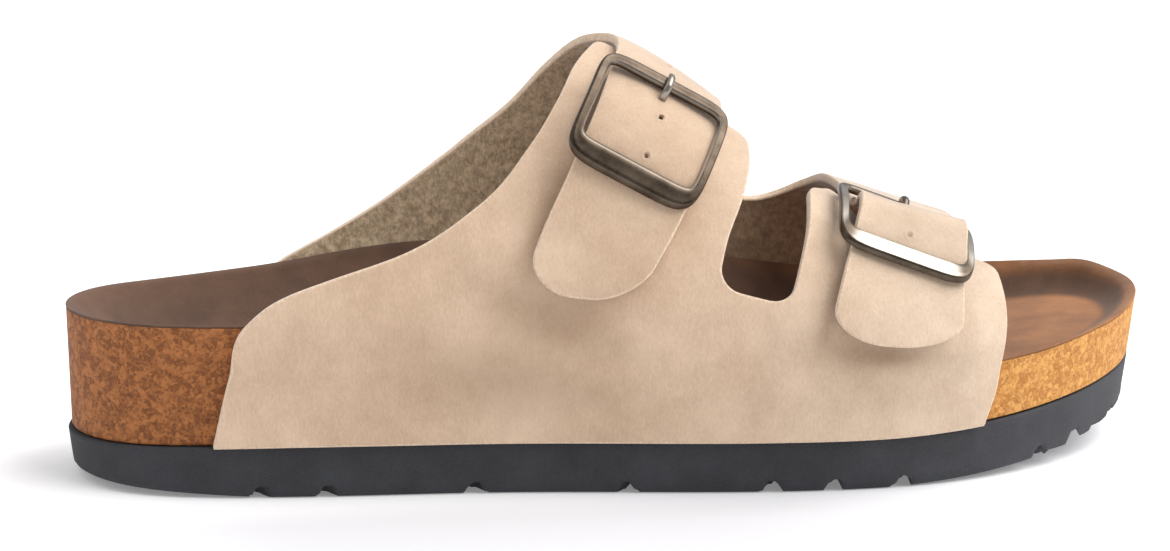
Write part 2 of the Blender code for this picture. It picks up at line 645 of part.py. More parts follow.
def buckle_frame(name, place):
    """A squared ring with a bevelled bar, narrower at its sides."""
    outer = squared_ring(FRAME_CORNER_POWER) * (FRAME_LONG / 2, FRAME_SHORT / 2)
    inner_half = (FRAME_LONG / 2 - FRAME_SIDE, (FRAME_SHORT - FRAME_UPPER_BAR - FRAME_LOWER_BAR) / 2)
    inner = squared_ring(2 * FRAME_CORNER_POWER) * inner_half + (0, (FRAME_UPPER_BAR - FRAME_LOWER_BAR) / 2)
    points = []
    for inwards, rise in zip(BAR_SECTION["inwards"], BAR_SECTION["rise"]):
        height = np.full(FRAME_STEPS, rise * FRAME_THICK)
        points.append(np.column_stack([outer + (inner - outer) * inwards, height]))
    faces = []
    for s in range(len(points)):
        for k in range(FRAME_STEPS):
            here, beside = s * FRAME_STEPS, (s + 1) % len(points) * FRAME_STEPS
            after = (k + 1) % FRAME_STEPS
            faces.append((here + k, here + after, beside + after, beside + k))
    return add_object(name, bent(np.vstack(points)), faces, OLD_BRASS, place=place)


def buckle_prong(name, place):
    """The prong's end: out of the strap inside the frame and over the upper bar."""
    down = PRONG["down"] - FRAME_SHORT / 2 + FRAME_UPPER_BAR / 2
    height = PRONG["height"] + FRAME_THICK + GAP + PRONG_THICK / 2
    angle = 2 * math.pi * (np.arange(PRONG_SIDES) + 0.5) / PRONG_SIDES
    points, faces = [], []
    for k, taper in enumerate(PRONG["taper"]):
        across = np.cos(angle) * PRONG_WIDTH / 2 * taper
        up = height[k] + np.sin(angle) * PRONG_THICK / 2 * taper
        points += list(zip(across, np.full(PRONG_SIDES, down[k]), up))
    count = len(down)
    for k in range(count - 1):
        for s in range(PRONG_SIDES):
            a, b = k * PRONG_SIDES + s, k * PRONG_SIDES + (s + 1) % PRONG_SIDES
            faces.append((a, b, b + PRONG_SIDES, a + PRONG_SIDES))
    last = (count - 1) * PRONG_SIDES
    faces += [tuple(range(PRONG_SIDES))[::-1], tuple(range(last, last + PRONG_SIDES))]
    return add_object(name, bent(points), faces, OLD_BRASS, place=place)


# Blender objects

def finish(name, colour, roughness, metallic):
    """A plain material for one kind of piece."""
    made = bpy.data.materials.new(name)
    made.use_nodes = True
    shader = made.node_tree.nodes["Principled BSDF"]
    shader.inputs["Base Color"].default_value = colour
    shader.inputs["Roughness"].default_value = roughness
    shader.inputs["Metallic"].default_value = metallic
    return made


SUEDE = finish("suede", (0.60, 0.45, 0.33, 1), 0.9, 0)
INSOLE_BROWN = finish("insole_brown", (0.17, 0.105, 0.075, 1), 0.9, 0)
CORK = finish("cork", (0.46, 0.24, 0.10, 1), 0.75, 0)
OUTSOLE_BLACK = finish("outsole_black", (0.045, 0.046, 0.05, 1), 0.8, 0)
OLD_BRASS = finish("old_brass", (0.19, 0.165, 0.135, 1), 0.35, 1)


def add_object(name, points, faces, material, place=None, guide=False):
    """A named mesh object with merged points and faces turned outwards."""
    mesh = bpy.data.meshes.new(name)
    mesh.from_pydata([tuple(p) for p in points], [], faces)
    work = bmesh.new()
    work.from_mesh(mesh)
    bmesh.ops.remove_doubles(work, verts=work.verts, dist=WELD)
    bmesh.ops.dissolve_degenerate(work, edges=work.edges, dist=WELD)
    loose = [v for v in work.verts if not v.link_faces]
    bmesh.ops.delete(work, geom=loose, context="VERTS")
    bmesh.ops.recalc_face_normals(work, faces=work.faces)
    work.to_mesh(mesh)
    work.free()
    mesh.shade_smooth()
    mesh.set_sharp_from_angle(angle=math.radians(SHARP_DEGREES))
    mesh.materials.append(material)
    made = bpy.data.objects.new(name, mesh)
    bpy.context.scene.collection.objects.link(made)
    if place is not None:
        made.matrix_world = place
    if guide:
        made.hide_render = True
        made.display_type = "WIRE"
    return made


def cut(body, other, operation):
    """Joins or cuts a body with another by a Boolean."""
    change = body.modifiers.new(operation.title(), "BOOLEAN")
    change.operation = operation
    change.solver = "EXACT"
    change.object = other


def stand_over_origin(objects):
    """Moves the sandal so that the middle of its box is over the origin, by one parent empty."""
    bpy.context.view_layer.update()
    graph = bpy.context.evaluated_depsgraph_get()
    corners = []
    for made in objects:
        seen = made.evaluated_get(graph)
        corners += [seen.matrix_world @ Vector(c) for c in seen.bound_box]
    corners = np.array(corners)
    middle = (corners.min(0) + corners.max(0)) / 2
    root = bpy.data.objects.new("sandal", None)
    bpy.context.scene.collection.objects.link(root)
    for made in bpy.data.objects:
        if made is not root:
            made.parent = root
    root.location = (-middle[0], -middle[1], 0)


def main():
    for old in list(bpy.data.objects):
        bpy.data.objects.remove(old)
    pieces = [outsole(), cork_footbed(), insole(), upper()]
    for end, rows, buckle in (("rear", REAR_STRAP, REAR_BUCKLE), ("front", FRONT_STRAP, FRONT_BUCKLE)):
        place = buckle_place(rows, buckle)
        pieces.append(buckle_frame(f"{end}_buckle_frame", place))
        pieces.append(buckle_prong(f"{end}_buckle_prong", place))
    stand_over_origin(pieces)


main()
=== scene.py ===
"""Looks of the double strap sandal: a fine mesh and a finish for every piece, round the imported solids.

Metres in the row frame, +X to the toe, +Y to the inner side of the foot, +Z up. Tables are written in
millimetres from the back of the heel, and each piece is a formula on a grid of two parameters.
"""

import math

import bmesh
import bpy
import numpy as np
from mathutils import Color, Matrix, Vector


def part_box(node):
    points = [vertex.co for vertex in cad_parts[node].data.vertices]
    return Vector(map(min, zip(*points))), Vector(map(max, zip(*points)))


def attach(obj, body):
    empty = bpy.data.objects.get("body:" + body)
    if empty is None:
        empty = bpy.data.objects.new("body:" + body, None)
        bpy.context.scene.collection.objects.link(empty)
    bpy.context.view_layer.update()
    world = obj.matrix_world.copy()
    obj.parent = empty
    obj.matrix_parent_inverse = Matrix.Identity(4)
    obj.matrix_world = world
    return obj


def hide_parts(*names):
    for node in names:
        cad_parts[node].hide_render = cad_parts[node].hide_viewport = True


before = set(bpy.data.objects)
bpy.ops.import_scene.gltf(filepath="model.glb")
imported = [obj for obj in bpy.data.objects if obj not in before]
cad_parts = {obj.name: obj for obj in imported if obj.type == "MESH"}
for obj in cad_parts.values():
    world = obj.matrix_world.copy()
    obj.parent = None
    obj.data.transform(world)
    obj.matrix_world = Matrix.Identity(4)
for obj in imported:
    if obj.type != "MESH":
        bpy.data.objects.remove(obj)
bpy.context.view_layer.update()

MM = 0.001

# Driving sizes
GAP = 0.3 * MM
UPPER_WALL = 2.2 * MM
CUT_EDGE_ROUND = 0.45 * MM
INSOLE_WALL = 1.6 * MM
INSOLE_EDGE = 0.55 * MM
INSOLE_SKIVE = 6.0 * MM
INSOLE_GAP = 0.08 * MM
INSOLE_ROLL = 0.3 * MM
INSOLE_OVERHANG = 0.1 * MM
CORK_FOOT = 0.4 * MM
OUTSOLE_EDGE_ROUND = 2.0 * MM
OUTSOLE_TOP_ROUND = 0.5 * MM
OUTSOLE_SIDE_START = 0.2
OVER_GROOVES = 0.4 * MM
GROOVE_DEPTH = 3.0 * MM
GROOVE_WIDTH = 3.6 * MM
GROOVE_FOOT = 1.24 * GROOVE_WIDTH
GROOVE_ROOF = 0.76 * GROOVE_WIDTH
GROOVE_WAVE = 2.6 * MM
GROOVE_WAVE_PITCH = 21 * MM
GROOVE_END = 2.5 * MM
SPINE_HEEL = 31 * MM
SPINE_TOE = 236 * MM
RIM_BLEND = 12 * MM
BED_CURVE = 2.1
RIM_GIRTH = 0.74
STEP_X = 0.5 * MM
STEP_GIRTH = 0.004
NEARLY_ZERO = 1e-9
WELD = 0.002 * MM
SHEET_WELD = 0.01 * MM

# Mesh counts, and the share of even spacing where rows lie closer together towards both ends
EVEN_PART = 0.3
OUTLINE_STEPS = 200
HALF_COLUMNS = 330
FRAME_STEPS = 144
SECTION_STEPS = 3
PRONG_SIDES = 16
PRONG_STEPS = 26
HOLE_STEPS = 13
# Rings of the sole: shares of the way in to the spine or up a side, turns round an edge, insets from the rim
TREAD_SHARES = (1.0, 0.9, 0.8, 0.7, 0.6, 0.5, 0.4, 0.3, 0.2, 0.12)
LEVEL_SHARES = (0.12, 0.6, 1.0)
BED_SHARES = (0.72, 0.79, 0.86, 0.93, 1.0)
OUTSOLE_SIDE_SHARES = (0.0, 0.3, 0.6, 0.9)
CORK_SIDE_SHARES = (0, 0.02, 0.15, 0.3, 0.45, 0.6, 0.75, 0.9, 1.0)
TREAD_EDGE_TURNS = np.radians((0, 22, 45, 68, 90))
TOP_EDGE_TURNS = np.radians((0, 45, 90))
INSOLE_EDGE_TURNS = np.radians((-60, -25, 10, 40, 65, 90))
BED_INSETS = np.array([0.7, 1.3, 2.2, 3.2, 4.4, 5.8, 7.5, 9.5, 12, 15, 19]) * MM

# Columns that aren't lengths
PLAIN_NUMBERS = ("girth", "power_outer", "power_inner", "reach", "taper", "inwards", "rise", "share", "open",
                 "turn", "outward")


def table(header, rows):
    """Columns by name: lengths go from millimetres to metres, and plain numbers stay as they are."""
    columns = {}
    for name, values in zip(header.split(), np.array(rows, float).T):
        columns[name] = values if name in PLAIN_NUMBERS else values * MM
    return columns


# The sole's edge seen from above, once round from the heel along the outer side.
OUTLINE = table("x y", [
    (0, -1), (10, -23), (38, -34), (100, -39), (165, -48.5), (205, -47), (238, -33), (261, -10),
    (268.3, 10), (267.2, 23), (262.5, 30.5), (243, 40), (195, 45.5), (115, 36), (40, 33), (10, 22),
])
# Along the sole: heights of the tread, the outsole's top, the footbed's rim on each side and the bed on the
# centre line; how far the bed's slope runs in from the rim on each side; how far the rim overhangs the
# outline; how far the outsole's top edge lies outside it, and how far the tread's edge lies inside that.
SOLE = table("x tread joint rim_outer rim_inner bed slope_outer slope_inner flare ledge draft", [
    (0, 2.2, 11.8, 42.0, 42.0, 27.0, 29, 29, 0.7, 0.9, 0.9),
    (20, 1.2, 12.4, 42.0, 41.5, 26.0, 29, 29, 0.7, 0.9, 0.9),
    (45, 0.0, 13.0, 42.0, 43.0, 25.5, 28, 29, 0.7, 0.9, 1.0),
    (85, 0.0, 13.0, 39.0, 48.0, 27.0, 25, 33, 0.7, 0.9, 1.0),
    (125, 0.0, 13.0, 35.0, 48.0, 27.0, 22, 32, 0.7, 0.9, 1.0),
    (165, 0.0, 13.0, 31.0, 41.0, 23.0, 17, 24, 0.7, 0.9, 1.0),
    (200, 0.2, 13.3, 29.0, 36.0, 20.5, 12, 15, 0.7, 0.9, 1.2),
    (232, 2.5, 15.6, 30.5, 36.9, 26.6, 8, 8, 1.0, 0.7, 1.6),
    (255, 6.4, 18.6, 33.5, 38.1, 30.2, 8, 8, 1.5, 0.3, 1.6),
    (263, 8.5, 20.0, 34.2, 38.8, 30.7, 8, 8, 1.7, 0.1, 1.4),
    (268.3, 10.0, 21.2, 33.3, 37.4, 30.8, 8, 8, 1.9, 0.0, 1.2),
])
# Raised places of the bed: centre, half lengths, and height.
BED_BUMPS = table("x y long wide height", [
    (166, 2, 17, 15, 2.4),   # behind the ball
    (214, 0, 6, 30, 1.6),    # bar under the toes
])
# Sections of the last over the foot: ridge height and place, and how square the arch is.
LAST = table("x ridge ridge_y power_outer power_inner", [
    (20, 84.0, 0, 2.0, 2.0),
    (60, 97.0, 1, 2.0, 2.0),
    (100, 103.5, 2, 2.0, 2.0),
    (132, 101.4, 3, 2.05, 2.05),
    (165, 81.0, 4, 2.25, 2.4),
    (187, 65.6, 5, 2.5, 2.8),
    (200, 60.8, 5, 2.6, 2.9),
    (230, 50.6, 5, 2.7, 2.9),
    (250, 44.0, 5, 2.7, 2.9),
])
# Tread grooves: place on the centre line, and how much of the half width each one runs.
GROOVES = table("x reach", [
    (14, 0.80), (28, 0.84), (42, 1.3), (57, 1.3), (74, 0.84), (92, 1.3), (111, 0.84), (131, 1.3),
    (149, 0.84), (167, 1.3), (182, 1.3), (199, 1.3), (216, 0.86), (232, 1.3), (247, 1.3), (258, 0.9),
])
# Front ends of the stepped lugs at the toe, how much sharper the tread's edge is there, and where that begins
# and is complete.
TOE_LUGS = np.array([236, 243.5, 250.5, 257, 263, 268.3]) * MM
TOE_SHARPER = 0.65
TOE_SHARPER_OVER = (222 * MM, 246 * MM)
# Edges of the outer panel. Girth runs from -1 at the outer sole edge over the ridge at 0 to 1 at the inner
# sole edge.
OUTER_PANEL = table("girth rear gap_rear gap_front front", [
    (-1.00, 33.2, 148.0, 167.5, 215.9),
    (-0.85, 37.2, 149.0, 167.5, 218.9),
    (-0.74, 41.2, 149.5, 168.0, 220.0),
    (-0.675, 51.3, 150.0, 168.3, 220.7),
    (-0.645, 60.8, 150.4, 168.5, 221.0),
    (-0.60, 77.0, 151.0, 168.7, 221.4),
    (-0.51, 96.2, 153.3, 171.1, 221.8),
    (-0.40, 108.8, 157.9, 174.2, 221.7),
    (-0.29, 117.0, 161.2, 176.4, 221.3),
    (-0.20, 121.6, 162.3, 178.0, 220.8),
    (-0.12, 126.1, 163.0, 179.0, 220.5),
    (-0.05, 129.5, 163.0, 179.5, 220.5),
])
# Edges of the inner panel below its gap.
INNER_PANEL = table("girth rear gap_rear gap_front front", [
    (0.54, 97.5, 163, 175.5, 223.0),
    (0.60, 88.0, 161, 175, 223.0),
    (0.65, 79.0, 160, 175, 222.5),
    (0.70, 66.5, 159, 175, 222.0),
    (0.74, 54.5, 158, 175, 221.0),
    (0.85, 46.0, 156, 174, 219.0),
    (1.00, 40.0, 154, 173, 216.0),
])
# Edges of the straps, from the inner panel over the ridge to their ends on the outer side, and how far the
# inner face stands off the last at each edge: over the outer panel, up inside the buckle, and down to the
# panel below it. At the buckles they reach up to the bars, higher than in the solids.
REAR_STRAP = table("girth rear front lift_rear lift_front", [
    (0.54, 97.5, 163.0, 0.0, 0.0),
    (0.43, 111.3, 164.0, 0.0, 0.0),
    (0.31, 119.5, 163.5, 0.0, 0.0),
    (0.14, 127.0, 161.5, 0.0, 0.0),
    (0.00, 131.5, 158.5, 0.8, 0.3),
    (-0.10, 132.2, 156.3, 2.6, 2.2),   # over the outer panel's top
    (-0.245, 128.6, 152.9, 5.4, 4.4),  # under the upper bar
    (-0.28, 127.3, 152.0, 6.6, 4.8),
    (-0.33, 125.2, 150.3, 8.0, 5.1),
    (-0.39, 122.0, 147.6, 8.4, 4.8),
    (-0.46, 117.5, 144.6, 7.4, 3.3),   # under the lower bar
    (-0.53, 112.5, 140.5, 5.6, 3.1),
    (-0.59, 108.8, 136.3, 4.0, 3.2),
    (-0.652, 106.0, 133.0, 3.3, 3.3),
])
FRONT_STRAP = table("girth rear front lift_rear lift_front", [
    (0.54, 175.5, 223.0, 0.0, 0.0),
    (0.46, 183.0, 222.8, 0.0, 0.0),
    (0.35, 189.0, 222.5, 0.0, 0.0),
    (0.16, 191.0, 222.0, 0.0, 0.0),
    (0.00, 191.0, 220.5, 0.0, 0.0),
    (-0.14, 190.0, 217.0, 0.2, 0.2),
    (-0.21, 188.7, 214.2, 1.0, 0.8),   # under the upper bar
    (-0.25, 187.9, 212.8, 2.4, 2.4),
    (-0.275, 186.4, 211.4, 4.6, 5.2),  # over the outer panel's top
    (-0.31, 185.1, 210.5, 7.8, 9.3),
    (-0.345, 184.3, 209.7, 8.4, 10.3),
    (-0.385, 183.4, 209.2, 7.0, 8.4),
    (-0.43, 182.5, 209.2, 5.2, 5.9),
    (-0.47, 181.1, 208.6, 5.0, 5.3),   # under the lower bar
    (-0.54, 179.1, 207.7, 5.6, 5.6),
    (-0.648, 176.5, 206.6, 6.0, 6.0),
])
# How much further round the front edge of each strap meets its buckle than the rear edge.
REAR_SKEW = 0.05
FRONT_SKEW = 0.036
# Tops of the outer panel's two tabs: girth by the share of the tab's width, before the corners are rounded.
REAR_TAB = table("share girth", [
    (0, -0.04), (0.1, -0.082), (0.25, -0.119), (0.5, -0.155), (0.75, -0.184), (0.9, -0.187), (1, -0.17),
])
FRONT_TAB = table("share girth", [
    (0, -0.215), (0.06, -0.21), (0.13, -0.186),  # beside the strap
    (0.17, -0.20), (0.23, -0.262), (0.5, -0.295), (0.75, -0.328), (0.9, -0.339), (1, -0.335),
])
TAB_CORNER = 0.052
TAB_ROUND = 0.145
GAP_CORNER_GIRTH = 0.045
GAP_CORNER = 5.5 * MM
OUTER_GAP_GIRTH = -0.60
INNER_GAP_GIRTH = 0.54
STRAP_END_CORNER = 0.055
STRAP_END_ROUND = 0.4
STRAP_END_BOW = 0.012

# Buckles: the middle of each frame on the last, how high its inner face stands off there, and in degrees its
# turn on the strap, its tilt along the strap and its roll across it.
REAR_BUCKLE = {"x": 135.8 * MM, "girth": -0.361, "stand": 8.4 * MM, "turn": -2.0, "tilt": 1.3, "roll": -8.5}
FRONT_BUCKLE = {"x": 197.5 * MM, "girth": -0.335, "stand": 6.1 * MM, "turn": 1.5, "tilt": 6.5, "roll": -2.2}
FRAME_LONG = 34.6 * MM
FRAME_SHORT = 32.0 * MM
FRAME_SIDE = 2.45 * MM
FRAME_UPPER_BAR = 3.7 * MM
FRAME_LOWER_BAR = 5.8 * MM
FRAME_THICK = 2.0 * MM
FRAME_CORNER_POWER = 6.0
FRAME_BEND_RADIUS = 48 * MM
STRAP_STEP = 0.10
# How bright the metal is painted: the inner bevel at the sides and along the bars, polished by use and also a
# painted highlight, and for each buckle a painted reflection on the face at the sides and on the face along
# the lower bar, and the prong, partly lighter metal and partly painted light.
BEVEL_BRIGHT = 0.6
BEVEL_BRIGHT_BARS = 0.12
REAR_PAINTED_REFLECTION = (0.0, 0.0, 0.35)
FRONT_PAINTED_REFLECTION = (0.45, 0.75, 0.1)
# Limits of the bevel and the face in the bar's section, and of the bars, the corners and the upper end as
# shares of half the frame.
BEVEL_INWARDS = (0.76, 0.82)
BEVEL_RISE = (0.35, 0.55)
FACE_INWARDS = (0.03, 0.09)
FACE_RISE = (0.85, 0.95)
BARS_DOWN = (0.80, 0.96)
CORNER_ACROSS = (0.66, 0.88)
CORNER_DOWN = (0.5, 0.8)
UPPER_END = (0.6, 0.8)
# The painted shade on the suede at a buckle: its reach from the frame, how dark it is on the straps under the
# bars and on the panel under the whole buckle, and its limits as shares of half the frame or of half its
# opening.
BUCKLE_SHADE_REACH = 20 * MM
BUCKLE_SHADE_UNDER_BARS = 0.5
BUCKLE_SHADE_UNDER_ALL = 0.7
BUCKLE_SHADE_DOWN = (0.2, 0.5)
BUCKLE_SHADE_SIDES = (0.76, 0.98)
BUCKLE_SHADE_BARS = (0.98, 1.08)
# The bar's section: share of the way from its outer side to its inner side, and of its height.
BAR_SECTION = table("inwards rise", [
    (0.0, 0.20), (0.0, 0.55), (0.03, 0.78), (0.09, 0.94), (0.17, 1.0), (0.30, 1.0), (0.52, 1.0), (0.74, 1.0),
    (0.81, 0.96), (0.91, 0.80), (0.98, 0.62), (1.0, 0.45), (1.0, 0.20), (0.96, 0.05), (0.88, 0.0), (0.5, 0.0),
    (0.12, 0.0), (0.04, 0.05),
])
PRONG_WIDTH = 1.9 * MM
PRONG_THICK = 1.5 * MM
# The prong from its tip: way down the strap from the middle of the upper bar, height over where it lies on
# the bar, and share of its full width.
PRONG = table("down height taper", [
    (-3.1, -1.0, 0.05),
    (-2.9, -0.9, 0.72),
    (-1.0, 0.15, 1.0),
    (1.6, 0.1, 1.0),
    (3.1, -0.7, 1.0),
    (4.0, -1.5, 1.0),
    (5.0, -3.0, 1.0),
])

# Punched holes of the straps: girth, share of the strap's width from its rear edge, and how open each one is.
REAR_HOLES = table("girth share open", [(-0.136, 0.473, 0.6), (-0.334, 0.525, 1.0), (-0.412, 0.545, 0.6)])
FRONT_HOLES = table("girth share open", [(-0.39, 0.497, 0.35)])
HOLE_RADIUS = 0.75 * MM
HOLE_DEPTH = 1.3 * MM
HOLE_LIP = 0.14 * MM
HOLE_ROW_REACH = 0.014
HOLE_COLUMN_REACH = 0.07
# In hole radii: from where to where the pit's side falls, and the lip's place and width.
PIT_SIDE = (1.0, 0.55)
LIP_PLACE = 1.45
LIP_WIDTH = 0.4

# Soft creases and swells of the suede: place, turn in degrees from along the foot, half lengths, and height.
GIRTH_LENGTH = 100 * MM
OUTER_CREASES = table("x girth turn long wide height", [
    (112, -0.70, -12, 24, 7, -1.0),    # hollow under the rear strap's end
    (98, -0.60, -38, 20, 5, 0.6),      # swell behind the rear strap
    (160, -0.72, 70, 11, 4, -0.8),     # bend below the gap
    (167, -0.78, 58, 12, 4, 0.5),
    (192, -0.76, -6, 20, 6, -1.0),     # hollow under the front strap's end
    (214, -0.62, 84, 18, 4, 0.6),      # swell along the front edge
    (66, -0.84, 8, 26, 7, -0.5),       # pull at the heel end
    (132, -0.90, 3, 34, 5, -0.4),      # pull along the sole
])
INNER_CREASES = table("x girth turn long wide height", [
    (112, 0.66, 14, 24, 7, -0.50),
    (168, 0.70, -64, 12, 4, -0.45),
    (198, 0.68, 4, 20, 6, -0.40),
    (140, 0.30, -70, 14, 5, 0.30),
])

# Places where the suede is painted darker, mostly painted shade under and beside the straps, in bends and
# over the straps' tops, and darker low on the panels: place, turn, half lengths, and how much.
OUTER_PAINTED_SHADE = table("x girth turn long wide share", [
    (112, -0.695, -12, 17, 5, 0.36),   # painted shade under the rear strap's end
    (110, -0.55, 55, 13, 2.2, 0.30),   # painted shade along its rear edge
    (101, -0.83, 0, 26, 11, 0.38),
    (136, -0.95, 0, 24, 7, 0.08),
    (160, -0.66, 80, 8, 5, 0.08),      # painted shade in the bend below the gap
    (190, -0.69, -3, 14, 4.5, 0.55),   # painted shade under the front strap's end
    (178, -0.57, 75, 12, 1.5, 0.30),   # painted shade along its rear edge
    (193, -0.83, 0, 16, 7, 0.12),
    (157, -0.30, 70, 16, 7, 0.11),     # painted shade on the rear tab's front corner
])
INNER_PAINTED_SHADE = table("x girth turn long wide share", [
    (120, 0.90, 0, 40, 8, 0.12),
    (168, 0.62, -70, 8, 5, 0.08),
    (196, 0.88, 0, 18, 6, 0.12),
    (137, -0.30, 90, 26, 18, 0.16),    # painted shade over the instep
    (199, -0.29, 90, 20, 18, 0.15),    # painted shade over the toes
])

# The cut edge's section: share of its outward round, and of the wall's thickness.
CUT_EDGE = table("outward rise", [
    (0.55, 0.03), (0.90, 0.13), (1.0, 0.32), (1.0, 0.68), (0.90, 0.87), (0.55, 0.97),
])


# Curves and tables

def cubic(t, start, leave, end, arrive):
    """Cubic from a start to an end with a slope at each, at a share of the way."""
    first = (1 + 2 * t) * (1 - t) ** 2 * start + t * (1 - t) ** 2 * leave
    return first + t * t * (3 - 2 * t) * end + t * t * (t - 1) * arrive


def smooth(at, knots, values):
    """Cubic through a table's values, flat beyond its ends."""
    slopes = np.gradient(values, knots)
    at = np.clip(at, knots[0], knots[-1])
    i = np.clip(np.searchsorted(knots, at) - 1, 0, len(knots) - 2)
    span = knots[i + 1] - knots[i]
    t = (at - knots[i]) / span
    return cubic(t, values[i], span * slopes[i], values[i + 1], span * slopes[i + 1])


def read(rows, name, along, at):
    """One column of a table at any place along it, whichever way the table runs."""
    order = np.argsort(rows[along])
    return smooth(at, rows[along][order], rows[name][order])


def edges(rows, girth, kind=""):
    """A table's rear and front column of a kind at a girth."""
    return read(rows, kind + "rear", "girth", girth), read(rows, kind + "front", "girth", girth)


def closed_curve(points, steps):
    """Closed cubic through the points with continuous bend, the chord length as its parameter."""
    count = len(points)
    after = np.linalg.norm(np.roll(points, -1, 0) - points, axis=1)
    before = np.roll(after, 1)
    rise = after[:, None] / before[:, None] * (points - np.roll(points, 1, 0))
    rise = 3 * (rise + before[:, None] / after[:, None] * (np.roll(points, -1, 0) - points))
    here = np.arange(count)
    system = np.diag(2 * (after + before))
    system[here, here - 1] = after
    system[here, (here + 1) % count] = before
    slopes = np.linalg.solve(system, rise)
    t = np.linspace(0, 1, steps, endpoint=False)[None, :, None]
    start, end = points[:, None], np.roll(points, -1, 0)[:, None]
    leave = (slopes * after[:, None])[:, None]
    arrive = (np.roll(slopes, -1, 0) * after[:, None])[:, None]
    return cubic(t, start, leave, end, arrive).reshape(-1, 2)


def soft_step(at, low, high):
    """From 0 at low to 1 at high, level at both ends."""
    t = np.clip((at - low) / (high - low), 0, 1)
    return t * t * (3 - 2 * t)


def eased(count):
    """Shares from 0 to 1 that lie closer together towards both ends."""
    t = np.linspace(0, 1, count)
    return EVEN_PART * t + (1 - EVEN_PART) * (1 - np.cos(math.pi * t)) / 2


# Sole

def sole_sides():
    """The outline's outer and inner side, each from the heel to the tip."""
    curve = closed_curve(np.column_stack([OUTLINE["x"], OUTLINE["y"]]), OUTLINE_STEPS)
    curve = np.roll(curve, -curve[:, 0].argmin(), 0)
    tip = curve[:, 0].argmax()
    return curve[:tip + 1], np.vstack([curve[tip:], curve[:1]])[::-1]


OUTER_SIDE, INNER_SIDE = sole_sides()


def outer_edge(x):
    """The outline's outer side along the sole."""
    return np.interp(x, OUTER_SIDE[:, 0], OUTER_SIDE[:, 1])


def inner_edge(x):
    """The outline's inner side along the sole."""
    return np.interp(x, INNER_SIDE[:, 0], INNER_SIDE[:, 1])


def sole_ring():
    """Outline points once round, closer together at heel and tip, with their normals and spine points."""
    turn = np.linspace(0, math.pi, HALF_COLUMNS + 1)
    heel, tip = OUTER_SIDE[0, 0], OUTER_SIDE[-1, 0]
    x = heel + (tip - heel) * (1 - np.cos(turn)) / 2
    outer = np.column_stack([x, outer_edge(x)])
    inner = np.column_stack([x, inner_edge(x)])[1:-1][::-1]
    edge = np.vstack([outer, inner])
    along = np.roll(edge, -1, 0) - np.roll(edge, 1, 0)
    normal = np.column_stack([along[:, 1], -along[:, 0]])
    normal /= np.linalg.norm(normal, axis=1)[:, None]
    spine_x = np.clip(edge[:, 0], SPINE_HEEL, SPINE_TOE)
    spine = np.column_stack([spine_x, (outer_edge(spine_x) + inner_edge(spine_x)) / 2])
    inner_side = np.arange(len(edge)) > HALF_COLUMNS
    return edge, normal, spine, inner_side


EDGE, EDGE_NORMAL, SPINE, ON_INNER_SIDE = sole_ring()
HALF_WIDTH = np.linalg.norm(SPINE - EDGE, axis=1)


def sole_height(name, x):
    """A column of the sole's table along the sole, never below the floor."""
    return np.maximum(read(SOLE, name, "x", x), 0)


def rim_height():
    """Height of the footbed's rim at each outline point, blended between the sides round heel and tip."""
    share = 0.5 + 0.5 * np.tanh(EDGE[:, 1] / RIM_BLEND)
    return (1 - share) * sole_height("rim_outer", EDGE[:, 0]) + share * sole_height("rim_inner", EDGE[:, 0])


def bed_height(place, inset):
    """Height of the foot's bed in from each outline point: the slope from the rim, and the raised places."""
    along = EDGE[:, 0]
    slope = np.where(ON_INNER_SIDE, sole_height("slope_inner", along), sole_height("slope_outer", along))
    bed = sole_height("bed", place[:, 0])
    climb = np.clip(1 - inset / slope, 0, 1) ** BED_CURVE
    height = bed + (rim_height() - bed) * climb
    for x, y, long, wide, rise in zip(*BED_BUMPS.values()):
        away = ((place[:, 0] - x) / long) ** 2 + ((place[:, 1] - y) / wide) ** 2
        height = height + rise * np.exp(-away) * (1 - climb)
    return height


def ring(offset, height):
    """The outline moved outwards by an offset, at a height."""
    place = EDGE + EDGE_NORMAL * np.broadcast_to(offset, len(EDGE))[:, None]
    return np.column_stack([place, np.broadcast_to(height, len(EDGE))])


def inward(share, height_at):
    """A ring a share of the way from the outline to the spine, its height a function of place and inset."""
    place = EDGE + (SPINE - EDGE) * np.broadcast_to(share, len(EDGE))[:, None]
    inset = np.linalg.norm(place - EDGE, axis=1)
    return np.column_stack([place, height_at(place, inset)])


def insole_wall(inset):
    """Thickness of the insole, thinned towards its edge."""
    return INSOLE_EDGE + (INSOLE_WALL - INSOLE_EDGE) * soft_step(inset, 0, INSOLE_SKIVE)


def bed_rings(walls, gap=0.0):
    """Rings from near the rim to the spine, a number of insole walls and a gap below the foot's bed."""

    def height(place, inset):
        return bed_height(place, inset) - walls * insole_wall(inset) - gap

    return [inward(share, height) for share in (*(BED_INSETS[:, None] / HALF_WIDTH), *BED_SHARES)]


def flat_rings(name, rise, shares):
    """Rings over a level of the sole from near its edge to the spine."""
    return [inward(share, lambda place, inset: sole_height(name, place[:, 0]) + rise) for share in shares]


def groove_rise(place):
    """How far the tread is cut up at each place: flat roofs on waves across the sole, with sloped sides."""
    x, y = place[:, 0, None], place[:, 1, None]
    away = np.abs(x - GROOVES["x"] - GROOVE_WAVE * np.sin(2 * math.pi * y / GROOVE_WAVE_PITCH))
    side = np.clip((GROOVE_FOOT / 2 - away) / (GROOVE_FOOT / 2 - GROOVE_ROOF / 2), 0, 1)
    low, high = outer_edge(GROOVES["x"]), inner_edge(GROOVES["x"])
    half = (high - low) / 2 * GROOVES["reach"]
    inside = 1 - soft_step(np.abs(y - (low + high) / 2), half - GROOVE_END, half)
    return GROOVE_DEPTH * (side * inside).max(1)


